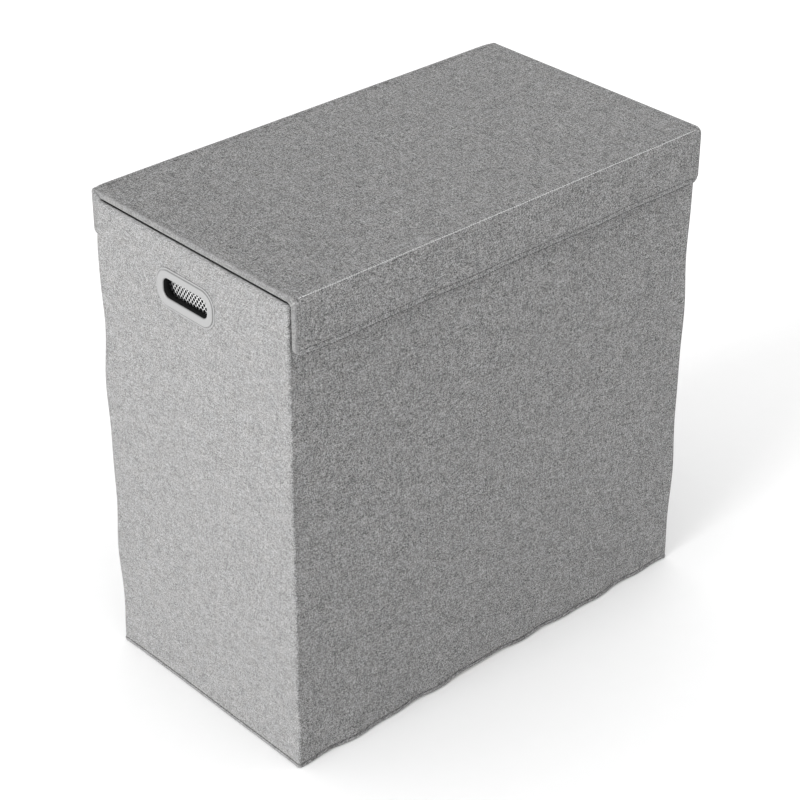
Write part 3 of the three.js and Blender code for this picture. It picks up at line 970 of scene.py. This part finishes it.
@dataclass
class FoldedPanel:
    """A padded panel that lies on top, turns over one long edge and hangs as a flap.

    It lies between two paths across the hamper. The outer path runs along the top, round the
    fold and down the flap's face; the inner path follows it underneath. A point is the middle
    of the two paths, moved towards one of them by a share. The share rises from zero at the
    panel's outline over a rounded rim as a superellipse, so the two faces meet all round. A
    stitched seam runs inside the outline as a narrow valley.
    """

    name: str
    fold: Fold
    start: float
    half_width: float = 304 * MM
    edge: float = 171 * MM
    top: float = 605 * MM
    underside: float = 596.8 * MM
    flap_inside: float = 163.4 * MM
    flap_bottom: float = 537 * MM
    corner: float = 11 * MM
    fold_radius: float = 3.2 * MM
    fold_radius_end: float = 8.0 * MM
    inner_radius: float = 5.5 * MM
    rim: float = 2.8 * MM
    rim_power: float = 3.6
    seam_inset: float = 7.2 * MM
    seam_depth: float = 0.4 * MM
    seam_width: float = 1.4 * MM
    flap_seam_depth: float = 0.5 * MM
    ridge_height: float = 0.6 * MM
    ridge_seam_depth: float = 0.25 * MM
    sag: float = 0.8 * MM
    step: float = 6.5 * MM

    EDGE_PLACES = np.array([0.0, 0.12, 0.4, 0.9, 1.6, 2.5, 3.6, 4.8, 5.8, 6.6, 7.2, 7.8, 8.6,
                            9.8, 11.5, 14.5, 19.0]) * MM

    @property
    def top_length(self) -> float:
        """Length of the top part, to where the fold begins."""
        return abs(self.fold.value * self.edge - self.start) - self.fold_radius

    @property
    def fold_length(self) -> float:
        """Length round the fold."""
        return self.fold_radius * math.pi / 2

    @property
    def flap_length(self) -> float:
        """Length of the flap, from the fold's end to its bottom edge."""
        return self.top - self.fold_radius - self.flap_bottom

    @property
    def length(self) -> float:
        """The whole length along the outer path."""
        return self.top_length + self.fold_length + self.flap_length

    def fold_radius_at(self, x: np.ndarray) -> np.ndarray:
        """The fold is rounder towards its two ends."""
        near_end = smooth_step(1 - (self.half_width - np.abs(x)) / (22 * MM))
        return self.fold_radius + (self.fold_radius_end - self.fold_radius) * near_end

    def path(self, length: np.ndarray, radius: np.ndarray, edge: float, top: float
             ) -> tuple[np.ndarray, np.ndarray]:
        """A path along the top, round a quarter circle and down.

        Args:
            length: Places along the nominal outer path.
            radius: The quarter circle's radius at each place.
            edge: How far out the flap's face lies.
            top: How high the top face lies.

        Returns:
            The places across and up.
        """
        side = self.fold.value
        on_top = np.clip(length / self.top_length, 0, 1)
        angle = np.clip((length - self.top_length) / self.fold_length, 0, 1) * math.pi / 2
        on_flap = np.clip((length - self.top_length - self.fold_length) / self.flap_length, 0, 1)
        across = self.start + (side * (edge - radius) - self.start) * on_top
        across = across + side * radius * np.sin(angle)
        bottom = top - radius - self.flap_bottom
        up = top - radius * (1 - np.cos(angle)) - bottom * on_flap
        return across, up

    def inset(self, x: np.ndarray, length: np.ndarray) -> np.ndarray:
        """Distance from the panel's outline, whose flap corners are rounded."""
        from_end = self.half_width - np.abs(x)
        from_bottom = self.length - length
        rounded = self.corner - np.hypot(np.maximum(self.corner - from_end, 0),
                                         np.maximum(self.corner - from_bottom, 0))
        nearest = np.minimum(from_end, from_bottom)
        outline = np.where(nearest < self.corner, rounded, nearest)
        return np.minimum(np.maximum(outline, 0), 4 * length)

    def share(self, x: np.ndarray, length: np.ndarray) -> np.ndarray:
        """How far towards its faces the panel reaches: a superellipse over the rim."""
        inward = np.clip(self.inset(x, length) / self.rim, 0, 1)
        return np.power(1 - np.power(1 - inward, self.rim_power), 1 / self.rim_power)

    def relief(self, x: np.ndarray, length: np.ndarray) -> np.ndarray:
        """Height of the outer cloth: seam valley, stitched ridge on the fold, slow ripples."""
        inset = self.inset(x, length)
        pucker = 1 + 0.12 * np.sin(2 * math.pi * (x + length) / (9 * MM))
        out = -self.seam_depth * pucker * bell(inset - self.seam_inset, self.seam_width)
        from_bottom = self.length - length
        out = out - self.flap_seam_depth * bell(from_bottom - self.seam_inset, 1.0 * MM)
        from_fold = length - self.top_length - self.fold_length / 2
        ends = smooth_step((self.half_width - np.abs(x)) / (8 * MM))
        out = out + ends * self.ridge_height * bell(from_fold + 0.3 * MM, 1.2 * MM)
        out = out - ends * self.ridge_seam_depth * bell(from_fold - 4.2 * MM, 1.4 * MM)
        flat = smooth_step((inset - 8 * MM) / (60 * MM))
        slow = ripple((Wave(260 * MM, 190 * MM, 0.35 * MM), Wave(-150 * MM, 230 * MM, 0.2 * MM)),
                      x, length)
        return out + flat * (slow - self.sag * smooth_step(inset / (150 * MM)))

    def place(self, x: np.ndarray, length: np.ndarray, face: int) -> np.ndarray:
        """Points of the outer face (1) or the inner face (-1)."""
        radius = self.fold_radius_at(x)
        outer = self.path(length, radius, self.edge, self.top)
        inner = self.path(length, np.full_like(radius, self.inner_radius), self.flap_inside,
                          self.underside)
        outer = np.stack(outer, axis=-1)
        inner = np.stack(inner, axis=-1)
        middle, half = (outer + inner) / 2, (outer - inner) / 2
        share = self.share(x, length)
        outward = half / np.maximum(np.linalg.norm(half, axis=-1, keepdims=True), 1e-9)
        section = middle + face * share[..., None] * half
        if face > 0:
            section = section + outward * (share * self.relief(x, length))[..., None]
        down = np.clip((length - self.top_length - self.fold_length) / self.flap_length, 0, 1)
        wave = ripple((Wave(180 * MM, FAR, 0.6 * MM, 0.4), Wave(97 * MM, FAR, 0.35 * MM, 2.0)),
                      x, length)
        section[..., 1] += down * wave
        return np.concatenate([x[..., None], section], axis=-1)

    def grid(self) -> tuple[np.ndarray, np.ndarray]:
        """Places on the cloth: rows close at both ends and the fold, columns close at the ends."""
        reach = self.EDGE_PLACES
        fold_start = max(self.top_length - 6 * MM, 0.0)
        fold = spaced(fold_start, self.top_length + self.fold_length + 9 * MM, 0.9 * MM)
        first = np.append(reach[reach < fold_start - MM], fold_start)
        before = spaced(first[max(len(first) - 2, 0)], fold_start, self.step)
        last = self.length - reach[::-1]
        after = spaced(fold[-1], last[0], self.step)
        rows = np.unique(np.concatenate([first, before, fold, after, last]))
        share = np.concatenate([reach, spaced(reach[-1], self.half_width, self.step)[1:]])
        share = np.unique(np.concatenate([share - self.half_width, self.half_width - share]))
        share = share / self.half_width
        missing = np.maximum(self.corner - (self.length - rows), 0)
        width = self.half_width - self.corner + np.sqrt(self.corner**2 - missing**2)
        x = share[None] * width[:, None]
        return x, np.repeat(rows[:, None], len(share), axis=1)

    def surfaces(self) -> list[Surface]:
        """The outer face in cloth and the inner face in lining, with the ends' rims in a darker
        linen as painted shade.

        Round the rim the cloth's coordinates run on over the edge, so the weave isn't drawn out.
        """
        x, length = self.grid()
        past = (1 - self.share(x, length)) * (self.top - self.underside) / 2
        at_side = self.half_width - np.abs(x) < self.length - length
        cloth = np.stack([x + np.sign(x) * past * at_side, -length - past * ~at_side], axis=-1)
        middle = (np.abs(x[1:, 1:]) + np.abs(x[:-1, :-1])) / 2
        on_rim = middle > self.half_width - self.rim
        # The rim cells take the darker linen: painted shade on the lid's ends.
        return [Surface(self.place(x, length, 1), cloth, slot=np.where(on_rim, 2, 0)),
                Surface(self.place(x, length, -1), cloth, slot=np.where(on_rim, 2, 1))]

    def sew(self, seam: Stitches, ridge: Stitches, painted_shadow_stitches: Stitches) -> None:
        """Sews the seam inside the outline, the fold's ridge in light thread that partly paints its
        highlight, and near-black rows at the flap's bottom edge and seam that paint their shadow.
        """
        def row(stitches: Stitches, x_at: Callable, length_at: Callable, total: float) -> None:
            """Adds a row whose two cloth places follow the distance along it."""
            def place(at: np.ndarray) -> np.ndarray:
                """Points on the outer face."""
                return self.place(x_at(at), length_at(at), 1)

            def normal(at: np.ndarray) -> np.ndarray:
                """Normals of the outer face, from one face to the other."""
                across = place(at) - self.place(x_at(at), length_at(at), -1)
                return across / np.linalg.norm(across, axis=1, keepdims=True)

            stitches.sew(place, total, normal)

        inset, low = self.seam_inset, self.length - self.seam_inset
        wide = self.half_width - inset
        for side in (-1, 1):
            row(seam, lambda at, s=side: np.full_like(at, s * wide), lambda at: at + inset,
                self.length - inset - self.corner)
        on_ridge = self.top_length + self.fold_length / 2 - 0.3 * MM
        row(ridge, lambda at: at - wide, lambda at: np.full_like(at, on_ridge), 2 * wide)
        # Near-black rows at the flap's bottom edge and along its seam: painted shadow for the gap
        # under the flap and the seam's valley.
        bottom = self.length - 1.2 * MM
        row(painted_shadow_stitches, lambda at: at - wide + 6 * MM, lambda at: np.full_like(at, bottom),
            2 * wide - 12 * MM)
        row(painted_shadow_stitches, lambda at: at - wide + 5 * MM, lambda at: np.full_like(at, low),
            2 * wide - 10 * MM)

    def build(self, finishes: Finishes) -> bpy.types.Object:
        """Builds the closed panel."""
        return make_piece(self.name, self.surfaces(),
                          [finishes.linen, finishes.lining, finishes.rim_linen_painted_darker])


@dataclass
class Lid:
    """The padded lid: its cover with the front flap, its back strip with the back flap."""

    seam_place: float = 163.4 * MM
    gap: float = 0.05 * MM
    hinge_blend: float = 8 * MM
    tape_width: float = 8 * MM
    tape_over: float = 1.4 * MM
    tape_room: float = 1.7 * MM
    tape_past_end: float = 0.6 * MM

    def build(self, finishes: Finishes) -> None:
        """Builds both panels and their stitches, and bakes each piece's transform into its mesh."""
        cover = FoldedPanel("lid_cloth", Fold.FRONT, self.seam_place - self.gap)
        strip = FoldedPanel("back_flap_cloth", Fold.BACK, self.seam_place + self.gap,
                            half_width=304.3 * MM, flap_inside=157.5 * MM,
                            flap_bottom=545 * MM, fold_radius_end=5.0 * MM, sag=0.0)
        jobs = (
            (cover, "lid_stitching", ("lid", "front_flap"), -1,
             ("lid_cover", "lid_lining", "front_flap_cover", "front_flap_lining")),
            (strip, "back_flap_stitching", ("lid", "body"), 1,
             ("back_flap_cover", "back_flap_lining")),
        )
        for panel, stitches_name, bodies, side, nodes in jobs:
            piece = panel.build(finishes)
            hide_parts(*nodes)
            # The seam's darker thread is partly painted shade for its valley.
            seam = Stitches(f"{stitches_name}_seam", width=0.7 * MM, proud=0.12 * MM)
            # The light ridge stitches are partly a painted highlight on the fold's crest.
            ridge = Stitches(f"{stitches_name}_ridge", pitch=3.2 * MM, fill=0.8,
                             width=1.1 * MM, proud=0.4 * MM)
            # Painted shadow: near-black stitches along the flap's bottom edge and seam.
            painted_shadow_stitches = Stitches(f"{stitches_name}_binding", pitch=4.4 * MM, fill=0.92,
                               width=1.6 * MM, proud=0.2 * MM)
            panel.sew(seam, ridge, painted_shadow_stitches)
            sewn = [seam.make(finishes.seam_thread_with_painted_shade), ridge.make(finishes.thread),
                    painted_shadow_stitches.make(finishes.painted_shadow_thread)]
            for blended in (piece, *sewn):
                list(bodies)
                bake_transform(blended)
        self.pad(finishes)
        self.bind(finishes)

    def bind(self, finishes: Finishes) -> None:
        """Builds the tape folded over the top of the back flap's board, seen with the lid open."""
        low, high = (np.array(corner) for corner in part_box("back_flap_board"))
        x = with_close_ends(spaced(low[0] - self.tape_past_end, high[0] + self.tape_past_end,
                                   12 * MM))
        middle_y = np.full_like(x, (low[1] + high[1]) / 2)
        middle_z = np.full_like(x, high[2] + self.tape_over - self.tape_width / 2)
        folded = ribbon(np.stack([x, middle_y, middle_z], axis=1), np.array([0, 0, 1.0]),
                        self.tape_width, high[1] - low[1] + self.tape_room)
        # The tape takes the same darker linen made as painted shade for the lid's ends.
        tape = make_piece("back_flap_tape", [folded], [finishes.rim_linen_painted_darker])
        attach(tape, "body")

    def pad(self, finishes: Finishes) -> None:
        """Builds the thin foam pad inside the lid."""
        low, high = (np.array(corner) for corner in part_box("lid_padding"))
        pad = FlatPanel("lid_pad", (high[0] - low[0]) / 2, (high[1] - low[1]) / 2, low[2],
                        high[2] - low[2] - 0.9 * MM, rim=1.0 * MM).build(finishes.foam)
        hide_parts("lid_padding")
        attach(pad, "lid")


# ---------------------------------------------------------------------------
# The handle rings


@dataclass
class HandHole:
    """A moulded ring through an end wall: a profile carried round a rounded rectangle.

    The flange is a low crowned band with a step at its outer edge. The collar runs back
    through the wall, and a flat backing ring clips onto it inside.
    """

    name: str
    side: int
    face: float = 305 * MM
    centre: tuple[float, float] = (8 * MM, 535 * MM)
    opening: tuple[float, float, float] = (37.5 * MM, 12 * MM, 9 * MM)
    flange: float = 12.2 * MM
    proud: float = 2.4 * MM
    collar_reach: float = 8.4 * MM

    def swept(self, profile: np.ndarray) -> Surface:
        """Carries a closed profile of outward offset and depth round the opening."""
        outline = rounded_outline(*self.opening, step=4 * MM, corner_steps=12)
        flat = outline.points[None] + outline.normals[None] * profile[:, :1, None]
        x = self.side * (self.face + profile[:, 1:] + 0 * flat[..., 0])
        points = np.stack([x, self.centre[0] + flat[..., 0], self.centre[1] + flat[..., 1]], -1)
        down = polyline_lengths(np.concatenate([profile, profile[:1]]))
        cloth = np.stack(np.meshgrid(outline.lengths, down), axis=-1)
        return Surface(points, cloth, wraps=True, closes=True)

    def flange_profile(self) -> np.ndarray:
        """Offset and height: up the outer step, over the crown, round into the collar."""
        wide, proud = self.flange, self.proud
        crown = np.linspace(0, 1, 9)
        over = np.stack([wide - 3.2 * MM - crown * (wide - 4.8 * MM),
                         proud - 0.35 * MM + 0.35 * MM * np.sin(math.pi * crown)], axis=1)
        turn = np.linspace(0.15, 1, 6) * math.pi / 2
        into = np.stack([1.6 * MM * (1 - np.sin(turn)),
                         proud - 0.35 * MM - 1.6 * MM * (1 - np.cos(turn))], axis=1)
        edge = np.array([[0.0, 0.0], [0.0, 0.8], [-0.2, 1.1], [-1.4, 1.25], [-1.7, 1.0],
                         [-1.8, -0.2], [-2.7, -0.2], [-2.8, 1.0], [-3.0, 1.75]]) * MM
        edge[:, 0] += wide
        back = np.array([[0.0, 0.4 * MM], [0.25 * MM, 0.0], [wide - 0.4 * MM, 0.0]])
        return np.concatenate([edge, over, into, back])

    def collar_profile(self) -> np.ndarray:
        """Offset and height of the collar that lines the hole behind the flange."""
        back, wall, ease = self.collar_reach, 1.7 * MM, 0.4 * MM
        return np.array([[0.3 * MM, 0.3 * MM], [0.3 * MM, ease - back],
                         [0.3 * MM + ease, -back], [wall - ease, -back], [wall, ease - back],
                         [wall, -0.1 * MM], [wall - ease, 0.3 * MM]])

    def backing_profile(self) -> np.ndarray:
        """Offset and height of the flat ring inside the wall, with rounded edges."""
        far, near, deep, high = 7.6 * MM, 2.1 * MM, -8.3 * MM, -6.3 * MM
        ease = 0.5 * MM
        return np.array([[near, high - ease], [near + ease, high], [far - ease, high],
                         [far, high - ease], [far, deep + ease], [far - ease, deep],
                         [near + ease, deep], [near, deep + ease]])

    def build(self, finishes: Finishes) -> None:
        """Builds the light flange, the dark collar behind it and the dark backing."""
        for part, node, profile, finish in (
            ("flange", "ring", self.flange_profile(), finishes.plastic),
            ("collar", "ring", self.collar_profile(), finishes.dark_plastic),
            ("clip", "backing", self.backing_profile(), finishes.dark_plastic),
        ):
            piece = make_piece(f"{self.name}_handle_{part}", [self.swept(profile)], [finish])
            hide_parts(f"{self.name}_handle_{node}")
            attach(piece, "body")


# ---------------------------------------------------------------------------
# The net liners


@dataclass
class NetLiner:
    """A net bag with a cloth cuff, two carrying straps and four hanging tabs."""

    name: str
    side: int
    inner_x: float = 6 * MM
    outer_x: float = 295 * MM
    half_depth: float = 148.2 * MM
    bottom: float = 6.5 * MM
    top: float = 587 * MM
    cuff_height: float = 27 * MM
    radius: float = 12 * MM
    strap_length: float = 170 * MM
    strap_width: float = 25 * MM
    strap_thickness: float = 1.4 * MM
    strap_bottom: float = 558 * MM
    strap_bow: float = 3 * MM
    tab_width: float = 34 * MM
    tab_thickness: float = 1.1 * MM
    tab_inset: float = 26 * MM

    @property
    def centre_x(self) -> float:
        """Middle of the bag along the hamper."""
        return self.side * (self.inner_x + self.outer_x) / 2

    @property
    def half_width(self) -> float:
        """Half the bag's size along the hamper."""
        return (self.outer_x - self.inner_x) / 2

    def swept(self, profile: np.ndarray, closes: bool, sag: float = 0.0) -> Surface:
        """Carries a profile of offset and height round the bag.

        The walls sag inward between the corners, most at the middle of each wall and of the
        height, with slow ripples.
        """
        outline = rounded_outline(self.half_width, self.half_depth, self.radius, 7 * MM, 8)
        offset, up = profile[:, :1], profile[:, 1:]
        x, y = outline.points.T
        along_wall = np.where(np.abs(outline.normals[:, 0]) > 0.5, y / self.half_depth,
                              x / self.half_width)
        middle = np.clip(1 - along_wall**2, 0, 1)[None]
        height = np.clip((self.top - self.cuff_height - up) / (self.top - self.bottom), 0, 1)
        hang = np.sin(math.pi * np.clip(height, 0, 1)) ** 0.7
        folds = ripple((Wave(74 * MM, FAR, 0.35), Wave(121 * MM, 900 * MM, 0.3, 1.0)),
                       outline.lengths[:-1][None], up)
        out = offset - sag * hang * middle * (1 + folds)
        flat = outline.points[None] + outline.normals[None] * out[..., None]
        points = np.stack([self.centre_x + flat[..., 0], flat[..., 1],
                           up + 0 * flat[..., 0]], axis=-1)
        down = polyline_lengths(np.concatenate([profile, profile[:1]]) if closes else profile)
        cloth = np.stack(np.meshgrid(outline.lengths, down), axis=-1)
        return Surface(points, cloth, wraps=True, closes=closes)

    def net(self, finishes: Finishes) -> bpy.types.Object:
        """The net: walls that curve in at the floor, and a floor panel."""
        walls = spaced(self.top - 6 * MM, self.bottom + 10 * MM, 9 * MM)
        turn = np.linspace(0, math.pi / 2, 7)[1:]
        profile = np.concatenate([
            np.stack([np.zeros_like(walls), walls], axis=1),
            np.stack([-10 * MM * (1 - np.cos(turn)),
                      self.bottom + 10 * MM * (1 - np.sin(turn))], axis=1),
        ])
        wall = self.swept(profile, closes=False, sag=4.5 * MM)
        x, y = np.meshgrid(
            self.centre_x + spaced(-1, 1, 0.06) * (self.half_width - 9.5 * MM),
            spaced(-1, 1, 0.06) * (self.half_depth - 9.5 * MM),
        )
        floor = Surface(np.stack([x, y, 0 * x + self.bottom + 0.3 * MM], axis=-1),
                        np.stack([x, y], axis=-1))
        return make_piece(f"{self.name}_liner_bag", [wall, floor], [finishes.net], outward=False)

    def band(self, offset: float, thickness: float, low: float, high: float) -> np.ndarray:
        """A closed profile of a folded band with rounded edges."""
        ease = min(thickness * 0.45, 0.6 * MM)
        rows = spaced(low + ease, high - ease, 6 * MM)
        outer = np.stack([np.full_like(rows, offset + thickness), rows], axis=1)
        inner = np.stack([np.full_like(rows, offset), rows[::-1]], axis=1)
        top = np.array([[offset + thickness - ease, high], [offset + ease, high]])
        under = np.array([[offset + ease, low], [offset + thickness - ease, low]])
        return np.concatenate([outer, top, inner, under])

    def strap(self, wall: int) -> Surface:
        """A carrying strap that bows away from the cuff between its sewn ends."""
        x = with_close_ends(self.centre_x + spaced(-1, 1, 0.05) * self.strap_length / 2)
        share = (x - self.centre_x) / (self.strap_length / 2)
        bow = self.strap_bow * np.clip(1 - share**2, 0, 1) ** 1.5
        y = wall * (self.half_depth - 2.9 * MM - bow)
        z = np.full_like(x, self.strap_bottom + self.strap_width / 2)
        return ribbon(np.stack([x, y, z], axis=1), np.array([0, 0, 1.0]), self.strap_width,
                      self.strap_thickness)

    def tab(self, wall: int, x: float) -> Surface:
        """A tab from the wall's lining, up and over the cuff, as a smooth hook."""
        low, reach = 563 * MM, 153.0 * MM
        turn = np.linspace(0, math.pi, 12)
        radius = (reach - 144.8 * MM) / 2
        outer = spaced(low, self.top - radius + 4 * MM, 4 * MM)[:-1]
        inner = spaced(self.top - radius + 4 * MM, 573 * MM, 4 * MM)[1:]
        y = np.concatenate([np.full_like(outer, reach), reach - radius * (1 - np.cos(turn)),
                            np.full_like(inner, reach - 2 * radius)])
        z = np.concatenate([outer, self.top - radius + 4 * MM + radius * np.sin(turn), inner])
        path = np.stack([np.full_like(y, x), wall * y, z], axis=1)
        return ribbon(path, np.array([1.0, 0, 0]), self.tab_width, self.tab_thickness)

    def dress(self, piece: bpy.types.Object, slot: str, *nodes: str) -> bpy.types.Object:
        """Hangs a piece on the body in place of its frame nodes."""
        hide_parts(*nodes)
        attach(piece, "body")
        return piece

    def sew(self, stitches: Stitches) -> None:
        """Sews the cuff's hem on its inner face and a box at each strap's end."""
        def line(first: np.ndarray, last: np.ndarray, facing: tuple) -> None:
            """Adds a straight row from one point to another."""
            length = float(np.linalg.norm(last - first))
            stitches.sew(lambda at: first + (last - first) * (at / length)[:, None], length,
                         lambda at: np.tile(np.array(facing, float), (len(at), 1)))

        low = self.top - self.cuff_height + 3 * MM
        for wall in (-1, 1):
            y = wall * (self.half_depth - 1.9 * MM)
            ends = [np.array([self.centre_x + s * (self.half_width - self.radius), y, low])
                    for s in (-1, 1)]
            line(*ends, facing=(0, -wall, 0))
            for end in (-1, 1):
                outer = self.centre_x + end * (self.strap_length / 2 - 3 * MM)
                inner = outer - end * 18 * MM
                face = wall * (self.half_depth - 3.7 * MM)
                high, under = self.strap_bottom + 22 * MM, self.strap_bottom + 3 * MM
                box = [np.array([x, face, z]) for x, z in ((outer, under), (outer, high),
                                                           (inner, high), (inner, under))]
                for first, last in zip(box, box[1:] + box[:1]):
                    line(first, last, facing=(0, -wall, 0))
                line(box[0], box[2], facing=(0, -wall, 0))
                line(box[1], box[3], facing=(0, -wall, 0))

    def build(self, finishes: Finishes) -> None:
        """Builds the bag and everything sewn to it."""
        bag = self.dress(self.net(finishes), "net", f"{self.name}_liner_net")
        cuff_profile = self.band(-1.6 * MM, 3.0 * MM, self.top - self.cuff_height, self.top)
        cuff = self.dress(
            make_piece(f"{self.name}_liner_cuff_cloth", [self.swept(cuff_profile, True)],
                       [finishes.linen]), "linen", f"{self.name}_liner_cuff")
        seam_profile = self.band(-2.2 * MM, 2.6 * MM, self.bottom + 4 * MM, self.bottom + 12 * MM)
        seam = self.dress(
            make_piece(f"{self.name}_liner_seam_tape", [self.swept(seam_profile, True)],
                       [finishes.webbing]), "webbing")
        sewn = Stitches(f"{self.name}_liner_stitches")
        self.sew(sewn)
        threads = self.dress(sewn.make(finishes.thread), "webbing")
        for wall_name, wall in WALLS:
            strap = make_piece(f"{self.name}_liner_{wall_name}_strap", [self.strap(wall)],
                               [finishes.webbing])
            self.dress(strap, "webbing", f"{self.name}_liner_{wall_name}_handle")
            places = (self.inner_x + self.tab_inset, self.outer_x - self.tab_inset)
            hooks = [self.tab(wall, self.side * place) for place in places]
            tabs = make_piece(f"{self.name}_liner_{wall_name}_tab", hooks, [finishes.webbing])
            self.dress(tabs, "webbing", *[f"{self.name}_liner_{wall_name}_tab_{place}"
                                          for place in ("inner", "outer")])


# ---------------------------------------------------------------------------
# The stage


@dataclass
class Stage:
    """A pale floor, soft light all round with a gentle key from the left, and the camera."""

    aim: tuple[float, float, float] = (-0.00322, 0.00295, 0.28846)
    distance: float = 2.72575
    azimuth: float = -42.508
    elevation: float = 31.300
    roll: float = 0.153
    lens: float = 103.763
    sky: float = 1.05
    key: float = 4.3
    key_elevation: float = 8.0
    key_azimuth: float = 86.0
    key_spread: float = 30.0

    def camera(self) -> None:
        """Stands the camera back from the aim along its azimuth and elevation."""
        data = bpy.data.cameras.new("camera")
        data.lens = self.lens
        data.sensor_width = 36
        data.clip_end = 50
        camera = bpy.data.objects.new("camera", data)
        bpy.context.scene.collection.objects.link(camera)
        turn, rise = math.radians(self.azimuth), math.radians(self.elevation)
        back = np.array([math.cos(rise) * math.sin(turn), -math.cos(rise) * math.cos(turn),
                         math.sin(rise)])
        camera.location = np.array(self.aim) + self.distance * back
        camera.rotation_mode = "XYZ"
        camera.rotation_euler = (math.pi / 2 - rise, 0, turn)
        camera.matrix_world = camera.matrix_basis @ rotation_about_view(self.roll)
        bpy.context.scene.camera = camera

    def floor(self) -> None:
        """Lays a large pale floor with a faint grain, a little below the hem."""
        size = 9.0
        place = spaced(-size, size, 3.0)
        x, y = np.meshgrid(place, place)
        sheet = Surface(np.stack([x, y, 0 * x - 0.2 * MM], axis=-1), np.stack([x, y], axis=-1))
        finish = SpeckledFinish("floor", tint(0.94), tint(0.96), scale=40.0, depth=0.0,
                                roughness=0.85, cloudiness=0.1, specular=0.1).make()
        make_piece("floor", [sheet], [finish], outward=False)

    def light(self) -> None:
        """Sets an even sky, and a wide sun low on the left for the key."""
        world = bpy.data.worlds.new("studio")
        world.use_nodes = True
        sky = world.node_tree.nodes["Background"]
        sky.inputs["Color"].default_value = (1.0, 1.0, 1.0, 1.0)
        sky.inputs["Strength"].default_value = self.sky
        bpy.context.scene.world = world
        sun = bpy.data.lights.new("key", "SUN")
        sun.energy = self.key
        sun.angle = math.radians(self.key_spread)
        key = bpy.data.objects.new("key", sun)
        key.rotation_euler = (math.radians(90 - self.key_elevation), 0,
                              -math.radians(self.key_azimuth))
        bpy.context.scene.collection.objects.link(key)

    def build(self) -> None:
        """Sets the stage."""
        self.camera()
        self.floor()
        self.light()
        bpy.context.scene.view_settings.view_transform = "Standard"


def rotation_about_view(degrees: float) -> Matrix:
    """A turn about the camera's own viewing axis."""
    return Matrix.Rotation(math.radians(degrees), 4, "Z")


def dress_frame(finishes: Finishes) -> None:
    """Gives each frame node that stays in view its finish."""
    kinds = {
        "board": finishes.fibreboard,
        "plate": finishes.steel,
        "magnet": finishes.steel,
        "tape": finishes.hook,
        "padding": finishes.foam,
    }
    for name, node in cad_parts.items():
        for kind, finish in kinds.items():
            if kind in name:
                node.data.materials.clear()
                node.data.materials.append(finish)


def main() -> None:
    """Builds the stage and every sub-assembly."""
    logging.basicConfig(level=logging.INFO, format="%(name)s: %(message)s")
    Stage().build()
    finishes = Finishes()
    Body().build(finishes)
    Lid().build(finishes)
    for name, side in SIDES:
        HandHole(name, side).build(finishes)
        NetLiner(name, side).build(finishes)
    dress_frame(finishes)


if __name__ == "__main__":
    main()
